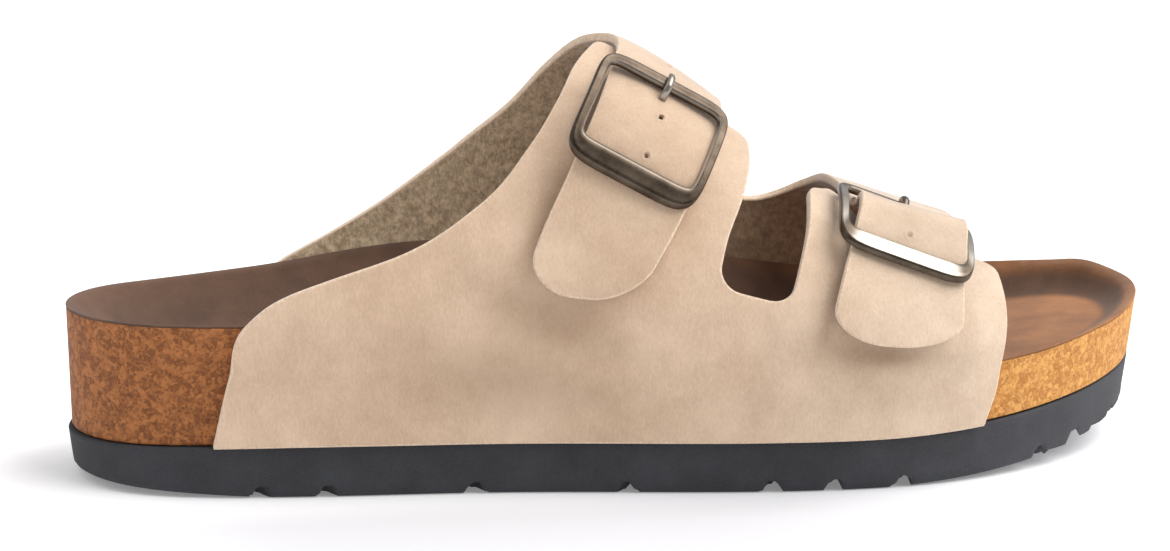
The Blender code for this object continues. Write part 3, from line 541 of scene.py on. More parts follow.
def lug_rise(place):
    """How far the tread is stepped up at the toe: each lug is level with its own front end."""
    x = place[:, 0]
    front = TOE_LUGS[np.minimum(np.searchsorted(TOE_LUGS, x), len(TOE_LUGS) - 1)]
    return np.where(x > TOE_LUGS[0], sole_height("tread", front) - sole_height("tread", x), 0)


def outsole_rings():
    """The tread from the spine out, its rounded edge, the drafted side and the top, with grooves cut up."""
    along = EDGE[:, 0]
    joint, tread = sole_height("joint", along), sole_height("tread", along)
    ledge = sole_height("ledge", along)
    tread_edge = ledge - sole_height("draft", along)
    edge_round = OUTSOLE_EDGE_ROUND * (1 - TOE_SHARPER * soft_step(along, *TOE_SHARPER_OVER))
    rings = flat_rings("tread", 0, TREAD_SHARES)
    for turn in TREAD_EDGE_TURNS:
        out = tread_edge - edge_round * (1 - math.sin(turn))
        rings.append(ring(out, tread + edge_round * (1 - math.cos(turn))))
    for ring_of_tread in rings:
        rise = np.maximum(groove_rise(ring_of_tread), lug_rise(ring_of_tread))
        cut = sole_height("tread", ring_of_tread[:, 0]) + rise
        ring_of_tread[:, 2] = np.maximum(ring_of_tread[:, 2], cut)
    foot = tread + GROOVE_DEPTH + OVER_GROOVES
    for share in OUTSOLE_SIDE_SHARES:
        out = tread_edge + (ledge - tread_edge) * (OUTSOLE_SIDE_START + (1 - OUTSOLE_SIDE_START) * share)
        rings.append(ring(out, foot + (joint - OUTSOLE_TOP_ROUND - foot) * share))
    for turn in TOP_EDGE_TURNS:
        out = ledge - OUTSOLE_TOP_ROUND * (1 - math.cos(turn))
        rings.append(ring(out, joint - OUTSOLE_TOP_ROUND * (1 - math.sin(turn))))
    return rings + flat_rings("joint", 0, LEVEL_SHARES)


def cork_rings():
    """From the outsole's top up the flared side to the rim, and over the bed under the insole.

    The side's foot is drawn in a little, so that its lower edge is broken.
    """
    joint = sole_height("joint", EDGE[:, 0]) + GAP
    rim = rim_height() - INSOLE_EDGE - INSOLE_GAP
    flare = sole_height("flare", EDGE[:, 0])
    rings = flat_rings("joint", GAP, LEVEL_SHARES[::-1])
    for share in CORK_SIDE_SHARES:
        rings.append(ring(flare * share - CORK_FOOT * (share == 0), joint + (rim - joint) * share))
    return rings + bed_rings(1, INSOLE_GAP)


def insole():
    """A thin skin over the bed with a thinned round edge on the rim, and how far in each point lies."""
    rim = rim_height()
    flare = sole_height("flare", EDGE[:, 0])
    rings = bed_rings(1)[::-1]
    for turn in INSOLE_EDGE_TURNS:
        out = flare - INSOLE_ROLL * (1 - math.cos(turn)) + INSOLE_OVERHANG
        rings.append(ring(out, rim - INSOLE_EDGE / 2 + INSOLE_EDGE / 2 * math.sin(turn)))
    rings += bed_rings(0)
    inset = ((EDGE - np.stack(rings)[..., :2]) * EDGE_NORMAL).sum(-1)
    return *skin(rings), {"inset": inset.ravel()}


def tube_faces(rows, columns, closed):
    """Faces of a grid that closes on itself across, and along too where asked."""
    index = np.arange(rows * columns).reshape(rows, columns)
    after = np.roll(index, -1, 0) if closed else index[1:]
    here = index if closed else index[:-1]
    return np.stack([here, np.roll(here, -1, 1), np.roll(after, -1, 1), after], -1).reshape(-1, 4)


def skin(rings):
    """Points and faces through rings that start and end folded on the spine."""
    points = np.stack(rings)
    return points.reshape(-1, 3), tube_faces(*points.shape[:2], False)


# Upper

def last_point(x, girth):
    """The last under the upper: up the footbed's side to the rim, then a squared arch over the ridge."""
    x, girth = np.broadcast_arrays(np.asarray(x, float), np.asarray(girth, float))
    outer = girth < 0
    side = np.where(outer, -1.0, 1.0)
    rim = np.where(outer, sole_height("rim_outer", x), sole_height("rim_inner", x))
    edge = np.where(outer, outer_edge(x), inner_edge(x))
    foot = sole_height("joint", x) + GAP
    ridge, ridge_y = read(LAST, "ridge", "x", x), read(LAST, "ridge_y", "x", x)
    power = np.where(outer, read(LAST, "power_outer", "x", x), read(LAST, "power_inner", "x", x))
    round_about = np.abs(girth)
    down_wall = np.clip((round_about - RIM_GIRTH) / (1 - RIM_GIRTH), 0, 1)
    edge = edge + side * (GAP + sole_height("flare", x) * (1 - down_wall))
    angle = (1 - np.clip(round_about / RIM_GIRTH, 0, 1)) * math.pi / 2
    reach = (np.cos(angle) ** power + np.sin(angle) ** power) ** (-1 / power)
    y = np.where(down_wall > 0, edge, ridge_y + (edge - ridge_y) * reach * np.cos(angle))
    arch = rim + (ridge - rim) * reach * np.sin(angle)
    z = np.where(down_wall > 0, rim + (foot - rim) * down_wall, arch)
    return np.stack([x, y, z], -1)


def last_normal(x, girth):
    """Outward normal of the last, from small steps along and round it."""
    along = last_point(x + STEP_X, girth) - last_point(x - STEP_X, girth)
    low, high = np.maximum(girth - STEP_GIRTH, -1), np.minimum(girth + STEP_GIRTH, 1)
    normal = np.cross(along, last_point(x, high) - last_point(x, low))
    return normal / np.linalg.norm(normal, axis=-1, keepdims=True)


def off_last(x, girth, lift):
    """A point at a height over the last."""
    return last_point(x, girth) + last_normal(x, girth) * np.asarray(lift)[..., None]


def quarter_round(away, width, depth):
    """How far an edge is cut back at a way from its end, as a quarter ellipse of this width and depth."""
    near = np.clip(1 - away / width, 0, 1)
    return depth * (1 - np.sqrt(1 - near * near))


def both_ends(share):
    """The way to the nearer end, as a share."""
    return np.minimum(share, 1 - share)


def bells(rows, x, girth):
    """The sum of soft bells on the last, each along and across its own direction."""
    total = np.zeros(np.broadcast(x, girth).shape)
    for at, at_girth, turn, long, wide, height in zip(*rows.values()):
        along, round_about = x - at, (girth - at_girth) * GIRTH_LENGTH
        c, s = math.cos(math.radians(turn)), math.sin(math.radians(turn))
        away = ((along * c + round_about * s) / long) ** 2 + ((round_about * c - along * s) / wide) ** 2
        total = total + height * np.exp(-away)
    return total


class Sheet:
    """Grids of places on the last, welded along shared edges and thickened into one closed wall."""

    def __init__(self, worn):
        self.fields, self.cells, self.count, self.worn = [], [], 0, worn

    def grid(self, x, girth, lift, dent=0.0):
        """Adds a grid, its cells turned to face away from the last."""
        fields = np.stack(np.broadcast_arrays(x, girth, lift, dent))
        rows, columns = fields.shape[1:]
        index = self.count + np.arange(rows * columns).reshape(rows, columns)
        cells = np.stack([index[:-1, :-1], index[:-1, 1:], index[1:, 1:], index[1:, :-1]], -1).reshape(-1, 4)
        middle = fields[:2, rows // 2:rows // 2 + 2, columns // 2:columns // 2 + 2]
        corner = last_point(*middle)
        facing = np.cross(corner[0, 1] - corner[0, 0], corner[1, 0] - corner[0, 0])
        if facing @ last_normal(*middle)[0, 0] < 0:
            cells = cells[:, ::-1]
        self.fields.append(fields.reshape(len(fields), -1))
        self.cells.append(cells)
        self.count += rows * columns

    def wall(self):
        """Points, faces and fields of the wall: inner face, outer face, and the rounded cut edge."""
        x, girth, lift, dent = np.hstack(self.fields)
        keys = np.round(off_last(x, girth, lift) / SHEET_WELD).astype(np.int64)
        first, merged = np.unique(keys, axis=0, return_index=True, return_inverse=True)[1:]
        x, girth, lift, dent = (field[first] for field in (x, girth, lift, dent))
        cells = merged.ravel()[np.vstack(self.cells)]
        count = len(first)
        inner, outer = off_last(x, girth, lift), off_last(x, girth, lift + UPPER_WALL - dent)
        a, b = cells.ravel(), np.roll(cells, -1, 1).ravel()
        lone = ~np.isin(a * count + b, b * count + a)
        start, end = a[lone], b[lone]
        after, before, place = np.zeros((3, count), int)
        after[start], before[end], place[start] = end, start, np.arange(len(start))
        tangent = inner[after[start]] - inner[before[start]]
        outward = np.cross(tangent, last_normal(x[start], girth[start]))
        outward /= np.linalg.norm(outward, axis=1)[:, None]
        edge = []
        for out, rise in zip(CUT_EDGE["outward"], CUT_EDGE["rise"]):
            level = off_last(x[start], girth[start], lift[start] + UPPER_WALL * rise)
            edge.append(level + outward * out * CUT_EDGE_ROUND)

        def ladder(at):
            """Indices up the cut edge at each border point."""
            middle = [2 * count + level * len(start) + place[at] for level in range(len(edge))]
            return np.stack([at, *middle, at + count])

        left, right = ladder(start), ladder(end)
        rim = np.stack([left[:-1], right[:-1], right[1:], left[1:]], -1).reshape(-1, 4)
        border, none = np.zeros((2, count))
        border[start] = 1
        rises = np.repeat(CUT_EDGE["rise"], len(start))
        parts = {
            "side": (none, np.ones(count), rises),
            "cut": (border, border, np.ones(len(rises))),
            "hole": (none, dent / HOLE_DEPTH, np.zeros(len(rises))),
            # Painted shade on the outer face, from the piece's table of darker places
            "worn": (none, bells(self.worn, x, girth), np.zeros(len(rises))),
        }
        fields = {name: np.concatenate(values) for name, values in parts.items()}
        return np.vstack([inner, outer, *edge]), np.vstack([cells[:, ::-1], cells + count, rim]), fields


TAB_COLUMNS = eased(48)
GAP_COLUMNS = np.linspace(0, 1, 12)
LOWER_ROWS = eased(48)
TAB_ROWS = eased(90)
STRAP_ROWS = eased(150)
STRAP_COLUMNS = eased(40)


def panel_parts(panel, girth, gap_girth):
    """The two edges at a girth of a panel's rear part, its gap and its front part.

    The gap's edges are drawn together round its bottom corners.
    """
    below_gap = np.abs(girth) > abs(gap_girth) + NEARLY_ZERO
    corner = quarter_round(np.abs(girth - gap_girth), GAP_CORNER_GIRTH, GAP_CORNER)
    draw = np.where(below_gap, GAP_CORNER, corner)
    rear, front = edges(panel, girth)
    gap_rear, gap_front = edges(panel, girth, "gap_")
    return (rear, gap_rear + draw), (gap_rear + draw, gap_front - draw), (gap_front - draw, front)


def lower_panel(sheet, panel, gap_girth, columns, creases):
    """The part of a panel from the sole up to the bottom of the gap, in three groups of columns."""
    foot = math.copysign(1, gap_girth)
    girth = (foot + (gap_girth - foot) * LOWER_ROWS)[:, None]
    parts = panel_parts(panel, girth, gap_girth)
    for (low, high), shares in zip(parts, (columns[0], GAP_COLUMNS, columns[1])):
        x = low + (high - low) * shares
        sheet.grid(x, girth, bells(creases, x, girth))


def outer_panel():
    """The panel on the outer side with its two tabs, from the gap's bottom up to tops with round corners."""
    sheet = Sheet(OUTER_PAINTED_SHADE)
    lower_panel(sheet, OUTER_PANEL, OUTER_GAP_GIRTH, (TAB_COLUMNS, TAB_COLUMNS), OUTER_CREASES)
    corners = quarter_round(both_ends(TAB_COLUMNS), TAB_ROUND, TAB_CORNER)
    for tab, part in ((REAR_TAB, 0), (FRONT_TAB, -1)):
        top = read(tab, "girth", "share", TAB_COLUMNS) - corners
        girth = OUTER_GAP_GIRTH + TAB_ROWS[:, None] * (top - OUTER_GAP_GIRTH)
        rear, front = panel_parts(OUTER_PANEL, girth, OUTER_GAP_GIRTH)[part]
        x = rear + (front - rear) * TAB_COLUMNS
        sheet.grid(x, girth, bells(OUTER_CREASES, x, girth))
    return sheet


def strap_shares(rows, holes):
    """Rows along a strap and columns across it, closer together where its holes are."""
    long = INNER_GAP_GIRTH - rows["girth"].min()
    hole_rows = (INNER_GAP_GIRTH - holes["girth"]) / long
    near = np.linspace(-1, 1, HOLE_STEPS)
    along = np.unique(np.concatenate([STRAP_ROWS, (hole_rows[:, None] + near * HOLE_ROW_REACH).ravel()]))
    beside = holes["share"].mean() + np.linspace(-1, 1, 2 * HOLE_STEPS) * HOLE_COLUMN_REACH
    across = np.unique(np.concatenate([STRAP_COLUMNS, beside]))
    return along[:, None], across


def hole_dents(rows, holes, x, girth, outer):
    """Depth of the punched holes at each outer point: a round pit with a low lip round it."""
    dent = np.zeros(outer.shape[:2])
    for at_girth, share, open_by in zip(*holes.values()):
        rear, front = edges(rows, at_girth)
        nearest = np.hypot(x - rear - (front - rear) * share, (girth - at_girth) * GIRTH_LENGTH)
        row, column = np.unravel_index(nearest.argmin(), nearest.shape)
        away = np.linalg.norm(outer - outer[row, column], axis=-1) / HOLE_RADIUS
        lip = np.exp(-((away - LIP_PLACE) / LIP_WIDTH) ** 2)
        dent = dent + HOLE_DEPTH * open_by * soft_step(away, *PIT_SIDE) - HOLE_LIP * lip
    return dent


def strap(sheet, rows, skew, gap_side, shares, holes):
    """A strap from the inner panel to its rounded end on the outer side, with its holes punched."""
    along, across = shares
    end = rows["girth"].min() + quarter_round(both_ends(across), STRAP_END_ROUND, STRAP_END_CORNER)
    end = end + STRAP_END_BOW * (2 * across - 1) ** 2
    girth = INNER_GAP_GIRTH + along * (end - INNER_GAP_GIRTH)
    rear, front = edges(rows, girth)
    draw = quarter_round(INNER_GAP_GIRTH - girth, GAP_CORNER_GIRTH, GAP_CORNER)
    rear, front = (rear - draw, front) if gap_side == "rear" else (rear, front + draw)
    lift_rear, lift_front = edges(rows, girth + skew * (across - 1 / 2), "lift_")
    x = rear + (front - rear) * across
    lift = lift_rear + (lift_front - lift_rear) * across + bells(INNER_CREASES, x, girth)
    sheet.grid(x, girth, lift, hole_dents(rows, holes, x, girth, off_last(x, girth, lift + UPPER_WALL)))


def inner_panel():
    """The panel on the inner side with its two straps."""
    sheet = Sheet(INNER_PAINTED_SHADE)
    rear_shares, front_shares = strap_shares(REAR_STRAP, REAR_HOLES), strap_shares(FRONT_STRAP, FRONT_HOLES)
    lower_panel(sheet, INNER_PANEL, INNER_GAP_GIRTH, (rear_shares[1], front_shares[1]), INNER_CREASES)
    strap(sheet, REAR_STRAP, REAR_SKEW, "front", rear_shares, REAR_HOLES)
    strap(sheet, FRONT_STRAP, FRONT_SKEW, "rear", front_shares, FRONT_HOLES)
    return sheet


# Buckles

def buckle_place(rows, buckle):
    """Where a buckle sits: across the strap, down the strap and out of it, as a matrix."""
    ends = buckle["girth"] + np.array([STRAP_STEP, -STRAP_STEP])
    start, end = last_point(sum(edges(rows, ends)) / 2, ends)
    down = Vector(end - start).normalized()
    x, girth = np.array(buckle["x"]), np.array(buckle["girth"])
    out = Vector(last_normal(x, girth))
    out = (out - down * out.dot(down)).normalized()
    place = Matrix((down.cross(out), down, out)).transposed().to_4x4()
    for angle, axis in (("turn", "Z"), ("tilt", "X"), ("roll", "Y")):
        place = place @ Matrix.Rotation(math.radians(buckle[angle]), 4, axis)
    place.translation = Vector(off_last(x, girth, np.array(buckle["stand"])))
    return np.array(place)


def bent(points, place):
    """Points of a flat buckle bent over the foot, down the strap, and put in place."""
    points = points.reshape(-1, 3).copy()
    points[:, 2] -= points[:, 1] ** 2 / (2 * FRAME_BEND_RADIUS)
    return points @ place[:3, :3].T + place[:3, 3]


def squared_ring(power):
    """Points round a squared circle of radius one, at even turns."""
    turn = np.linspace(0, 2 * math.pi, FRAME_STEPS, endpoint=False)
    reach = (np.abs(np.cos(turn)) ** power + np.abs(np.sin(turn)) ** power) ** (-1 / power)
    return np.column_stack([np.cos(turn) * reach, np.sin(turn) * reach])


OPENING_HALF = np.array([FRAME_LONG / 2 - FRAME_SIDE, (FRAME_SHORT - FRAME_UPPER_BAR - FRAME_LOWER_BAR) / 2])
OPENING_MIDDLE = np.array([0, (FRAME_UPPER_BAR - FRAME_LOWER_BAR) / 2])
FRAME_HALF = np.array([FRAME_LONG / 2, FRAME_SHORT / 2])


def buckle_frame(place, painted_side_reflection, painted_bar_reflection):
    """A squared ring with a bevelled bar, and how bright it is painted.

    The inner bevel is bright from polish and from a painted highlight, but less along the two bars. The face
    gets a painted reflection of one brightness at the sides and of another along the lower bar, but not in
    the corners or on the upper bar.
    """
    outer = squared_ring(FRAME_CORNER_POWER) * FRAME_HALF
    inner = squared_ring(2 * FRAME_CORNER_POWER) * OPENING_HALF + OPENING_MIDDLE
    section = closed_curve(np.column_stack([BAR_SECTION["inwards"], BAR_SECTION["rise"]]), SECTION_STEPS)
    flat = outer[:, None] + (inner - outer)[:, None] * section[None, :, :1]
    height = np.broadcast_to(section[None, :, 1:] * FRAME_THICK, flat[..., :1].shape)
    points = bent(np.concatenate([flat, height], -1), place)
    inwards, rise = section.T
    bevel = soft_step(inwards, *BEVEL_INWARDS) * soft_step(rise, *BEVEL_RISE)
    face = soft_step(inwards, *FACE_INWARDS) * soft_step(rise, *FACE_RISE)
    across, down = np.split(outer / FRAME_HALF, 2, axis=1)
    lower, bars = soft_step(down, *BARS_DOWN), soft_step(np.abs(down), *BARS_DOWN)
    corners = soft_step(np.abs(across), *CORNER_ACROSS) * soft_step(np.abs(down), *CORNER_DOWN)
    straight = 1 - np.maximum(corners, soft_step(-down, *UPPER_END))
    bevel_bright = BEVEL_BRIGHT + (BEVEL_BRIGHT_BARS - BEVEL_BRIGHT) * bars
    painted_face_reflection = (painted_side_reflection + (painted_bar_reflection - painted_side_reflection) * lower) * straight
    bright = np.maximum(bevel_bright * bevel, painted_face_reflection * face).ravel()
    return points, tube_faces(FRAME_STEPS, len(section), True), {"bright": bright}


def shade_under_buckle(points, place, over):
    """How much painted shade each point gets above a buckle's lower bar: under the bars alone, or all of it.
    """
    local = (points - place[:3, 3]) @ place[:3, :3]
    near = (np.abs(local[:, 2]) < BUCKLE_SHADE_REACH) * (1 - soft_step(local[:, 1] / FRAME_HALF[1], *BUCKLE_SHADE_DOWN))
    inside = 1 - soft_step((np.abs(local[:, :2]) / FRAME_HALF).max(1), *BUCKLE_SHADE_SIDES)
    bars = soft_step((np.abs(local[:, :2] - OPENING_MIDDLE) / OPENING_HALF).max(1), *BUCKLE_SHADE_BARS)
    return near * inside * (BUCKLE_SHADE_UNDER_BARS * bars if over == "bars" else BUCKLE_SHADE_UNDER_ALL)


def buckle_prong(place, worn):
    """The prong: a flattened round bar along a smooth path over the upper bar and down into the strap."""
    knots = np.arange(len(PRONG["down"]), dtype=float)
    at = np.linspace(0, knots[-1], PRONG_STEPS)
    down = smooth(at, knots, PRONG["down"]) - FRAME_SHORT / 2 + FRAME_UPPER_BAR / 2
    height = smooth(at, knots, PRONG["height"]) + FRAME_THICK + GAP + PRONG_THICK / 2
    taper = np.interp(at, knots, PRONG["taper"])[:, None]
    angle = np.linspace(0, 2 * math.pi, PRONG_SIDES, endpoint=False)
    across = np.cos(angle) * PRONG_WIDTH / 2 * taper
    up = height[:, None] + np.sin(angle) * PRONG_THICK / 2 * taper
    points = bent(np.stack([across, np.broadcast_to(down[:, None], across.shape), up], -1), place)
    ends = points.reshape(PRONG_STEPS, -1, 3)[[0, -1]].mean(1)
    count = len(points)
    end_rings = np.arange(count).reshape(PRONG_STEPS, -1)[[0, -1]]
    centres = np.full(end_rings.shape, count) + [[0], [1]]
    caps = np.stack([np.roll(end_rings, -1, 1), end_rings, centres, centres], -1).reshape(-1, 4)
    faces = np.vstack([tube_faces(PRONG_STEPS, PRONG_SIDES, False), caps])
    # The prong's brightness is partly lighter metal and partly painted light.
    return np.vstack([points, ends]), faces, {"bright": np.full(count + len(ends), worn)}


# Finishes

MIDDLE_GREY = 0.5
# Limits between which a mottle goes from its dark to its light colour
MOTTLE = (0.1, 0.9)
# Stretches in metres over which a finish changes. The insole's outer side and the floor's front and back are
# across the sandal, the scuffs are above the floor, and the others are along the sandal.
SUEDE_PALER = (0.0, 0.08)
# The flesh side is painted paler at the rear and darker towards the front, as light and shade inside the
# sandal.
FLESH_PAINTED_SHADE = (-0.025, 0.02)
CORK_PALER = (-0.06, 0.085)
# The insole's stretches place painted light at the toe and painted shade inside its rim.
INSOLE_PALER = (-0.02, 0.095)
INSOLE_TOE = (0.08, 0.11)
INSOLE_OUTER_SIDE = (-0.005, 0.02)
FOAM_PALER = (0.03, 0.11)
FOAM_SCUFFS = (3 * MM, 9 * MM)
# The floor's stretches bound a painted shadow on the camera's side of the sandal.
FLOOR_HEEL = (-0.19, -0.08)
FLOOR_TOE = (0.0, 0.17)
FLOOR_FRONT = (-0.24, -0.07)
FLOOR_BACK = (-0.06, -0.02)


class Value:
    """A shader's socket. Sums and products of it add Math nodes to its finish."""

    def __init__(self, finish, socket):
        self.finish, self.socket = finish, socket

    def math(self, operation, first, second):
        """A Math node of two sockets or numbers."""
        made = self.finish.node("ShaderNodeMath", {"operation": operation}, {0: first, 1: second})
        return Value(self.finish, made.outputs[0])

    def __add__(self, other):
        return self.math("ADD", self, other)

    __radd__ = __add__

    def __sub__(self, other):
        return self.math("SUBTRACT", self, other)

    def __rsub__(self, other):
        return self.math("SUBTRACT", other, self)

    def __mul__(self, other):
        return self.math("MULTIPLY", self, other)

    __rmul__ = __mul__

    def between(self, low, high):
        """From 0 at low to 1 at high, level beyond."""
        sockets = {"Value": self, "From Min": low, "From Max": high}
        made = self.finish.node("ShaderNodeMapRange", {"interpolation_type": "SMOOTHSTEP"}, sockets)
        return Value(self.finish, made.outputs[0])


class Finish:
    """A material whose nodes are added one by one and end in its Principled shader."""

    def __init__(self, name):
        self.material = bpy.data.materials.new(name)
        self.material.use_nodes = True
        self.tree = self.material.node_tree
        self.shader = self.tree.nodes["Principled BSDF"]
        self.place = self.node("ShaderNodeTexCoord").outputs["Object"]

    def node(self, kind, settings=None, sockets=None):
        """Any node: its settings are set first, then its sockets get values or links."""
        made = self.tree.nodes.new(kind)
        for name, value in (settings or {}).items():
            setattr(made, name, value)
        for name, value in (sockets or {}).items():
            self.feed(made.inputs[name], value)
        return made

    def feed(self, socket, value):
        """Links a socket to a value, or sets it to a constant."""
        value = value.socket if isinstance(value, Value) else value
        if isinstance(value, bpy.types.NodeSocket):
            self.tree.links.new(value, socket)
        else:
            socket.default_value = value

    def noise(self, size, detail, roughness, place=None):
        """Cloudy noise with features of a size in metres."""
        sockets = {"Vector": place or self.place, "Scale": 1 / size, "Detail": detail, "Roughness": roughness}
        return Value(self, self.node("ShaderNodeTexNoise", None, sockets).outputs[0])

    def mottle(self, *parts):
        """A middle grey, and the swing of each noise about it by a weight."""
        total = MIDDLE_GREY
        for noise, weight in parts:
            total = total + (noise - MIDDLE_GREY) * weight
        return total

    def cells(self, size, feature, output, place=None):
        """Voronoi cells of a size in metres: their distance, or a grey of their own."""
        sockets = {"Vector": place or self.place, "Scale": 1 / size}
        made = self.node("ShaderNodeTexVoronoi", {"feature": feature}, sockets)
        if output == "grey":
            made = self.node("ShaderNodeSeparateColor", None, {0: made.outputs["Color"]})
            return Value(self, made.outputs[0])
        return Value(self, made.outputs["Distance"])

    def field(self, name):
        """A piece's own attribute."""
        return Value(self, self.node("ShaderNodeAttribute", {"attribute_name": name}).outputs["Fac"])

    def axis(self, index):
        """One Object coordinate, in metres."""
        return Value(self, self.node("ShaderNodeSeparateXYZ", None, {0: self.place}).outputs[index])

    def mix(self, share, low, high):
        """A colour a share of the way from one to another."""
        made = self.node("ShaderNodeMix", {"data_type": "RGBA"}, {0: share, 6: low, 7: high})
        return made.outputs[2]

    def bump(self, height, strength, distance):
        """A normal bent by a height."""
        sockets = {"Height": height, "Strength": strength, "Distance": distance}
        return self.node("ShaderNodeBump", None, sockets).outputs[0]

    def done(self, colour, roughness, normal, **constants):
        """Feeds the shader, sets its constant sockets and gives the material."""
        for name, value in (("Base Color", colour), ("Roughness", roughness), ("Normal", normal)):
            if value is not None:
                self.feed(self.shader.inputs[name], value)
        for name, value in constants.items():
            self.shader.inputs[name.replace("_", " ").title().replace("Ior", "IOR")].default_value = value
        return self.material


def colour(red, green, blue):
    """A screen colour from 0 to 255 as the linear colour that shaders take."""
    return (*Color((red / 255, green / 255, blue / 255)).from_srgb_to_scene_linear(), 1.0)


def suede():
    """Beige suede: cloudy nap, paler at the front, painted shade in places and at the buckles, a flesh side
    within painted paler at the rear and darker towards the front, holes painted dark as shade.
    """
    f = Finish("beige_suede")
    clouds = f.noise(22 * MM, 2, 0.5)
    patches = f.noise(4.5 * MM, 4, 0.6)
    drawn_out = f.node("ShaderNodeMapping", None, {"Vector": f.place, "Scale": (1, 1, 0.45)}).outputs[0]
    fibres = f.noise(0.55 * MM, 3, 0.7, drawn_out)
    nap = f.mottle((clouds, 0.8), (patches, 0.4), (fibres, 0.55))
    pale = f.axis(0).between(*SUEDE_PALER)
    nap_dark = f.mix(pale, colour(190, 160, 133), colour(190, 164, 139))
    nap_light = f.mix(pale, colour(231, 204, 177), colour(231, 209, 185))
    unshaded_nap = f.mix(nap.between(0.0, 1.0), nap_dark, nap_light)
    # Painted shade: darker places under and beside the straps, in bends, over the straps' tops, and low on
    # the panels.
    face = f.mix(f.field("worn"), unshaded_nap, colour(116, 81, 46))
    rough = f.mottle((f.noise(2.2 * MM, 4, 0.65), 1.3), (fibres, 0.9))
    # Painted light and shade on the flesh side: paler at the rear, darker towards the front.
    front = f.axis(0).between(*FLESH_PAINTED_SHADE)
    flesh_dark = f.mix(front, colour(172, 147, 116), colour(124, 101, 80))
    flesh_light = f.mix(front, colour(250, 228, 194), colour(172, 146, 118))
    flesh = f.mix(rough.between(*MOTTLE), flesh_dark, flesh_light)
    both = f.mix(f.field("side").between(0.2, 0.7), flesh, face)
    edge = f.mix(fibres.between(0.3, 0.7), colour(205, 177, 150), colour(232, 208, 183))
    cut = f.mix(f.field("cut").between(0.55, 1.0), both, edge)
    # Painted shade under and round the buckles.
    with_buckle_shade = f.mix(f.field("tuck"), cut, colour(70, 54, 44))
    # The punched holes are painted dark as shade.
    hole = f.mix(f.field("hole").between(0.15, 0.95), with_buckle_shade, colour(62, 46, 34))
    height = fibres * 0.5 + patches * 0.5 + f.noise(0.25 * MM, 2, 0.6) * 0.35
    return f.done(hole, 0.93, f.bump(height, 0.5, 0.35 * MM), sheen_weight=0.6, sheen_roughness=0.4)


def cork():
    """Pressed cork: granules of mixed browns, darker and redder at the heel, dark flecks and small pits."""
    f = Finish("pressed_cork")
    bent_place = f.node("ShaderNodeVectorMath", {"operation": "MULTIPLY_ADD"}, {
        0: f.node("ShaderNodeTexNoise", None, {"Vector": f.place, "Scale": 1 / (3 * MM)}).outputs[1],
        1: (1.2 * MM,) * 3, 2: f.place}).outputs[0]
    granule = f.cells(1.6 * MM, "F1", "grey", bent_place)
    crumb = f.cells(0.65 * MM, "F1", "grey", bent_place)
    seam = f.cells(1.6 * MM, "DISTANCE_TO_EDGE", "distance", bent_place)
    fine = f.noise(0.5 * MM, 4, 0.65)
    mottle = f.mottle((granule, 0.6), (crumb, 0.55), (fine, 0.7))
    toe = f.axis(0).between(*CORK_PALER)
    dark = f.mix(toe, colour(122, 71, 34), colour(182, 120, 55))
    light = f.mix(toe, colour(174, 110, 60), colour(220, 162, 90))
    body = f.mix(mottle.between(*MOTTLE), dark, light)
    fleck = f.noise(1.6 * MM, 3, 0.7, bent_place).between(0.60, 0.70)
    flecked = f.mix(fleck * 0.6, body, f.mix(toe, colour(70, 38, 20), colour(150, 88, 40)))
    seamed = f.mix((1 - seam.between(0.0, 0.05)) * 0.25, flecked, colour(84, 48, 24))
    height = mottle * 0.6 + seam.between(0.0, 0.12) * 0.4 - fleck * 0.5
    return f.done(seamed, 0.62 + fine * 0.2, f.bump(height, 0.5, 0.4 * MM), specular_ior_level=0.35)


def insole_suede():
    """Brown suede lining: soft clouds and short nap, with painted light at the toe: a paler bed, tip and rim
    top, and painted shade on a band inside the rim.
    """
    f = Finish("brown_lining")
    clouds = f.noise(18 * MM, 3, 0.55)
    nap = f.noise(0.7 * MM, 4, 0.7)
    patches = f.noise(5 * MM, 3, 0.6)
    mottle = f.mottle((clouds, 1.0), (patches, 0.5), (nap, 0.45))
    toe = f.axis(0).between(*INSOLE_PALER)
    inset = f.field("inset")
    # Painted light: the toe's bed, the rim's top and the tip's outer side paler, with painted shade on the
    # band inside the rim.
    near = f.axis(0).between(*INSOLE_TOE) * (1 - f.axis(1).between(*INSOLE_OUTER_SIDE))
    level = inset.between(5 * MM, 9 * MM) + (1 - inset.between(0.5 * MM, 3 * MM)) * 0.55
    paler = (toe * level + near * 0.5).between(0.0, 1.0)
    dark = f.mix(paler, colour(78, 55, 41), colour(126, 80, 44))
    light = f.mix(paler, colour(108, 77, 58), colour(170, 113, 65))
    body = f.mix(mottle.between(*MOTTLE), dark, light)
    height = nap * 0.6 + patches * 0.4
    return f.done(body, 0.81 + nap * 0.1, f.bump(height, 0.35, 0.3 * MM), sheen_weight=0.15,
                  sheen_roughness=0.5)


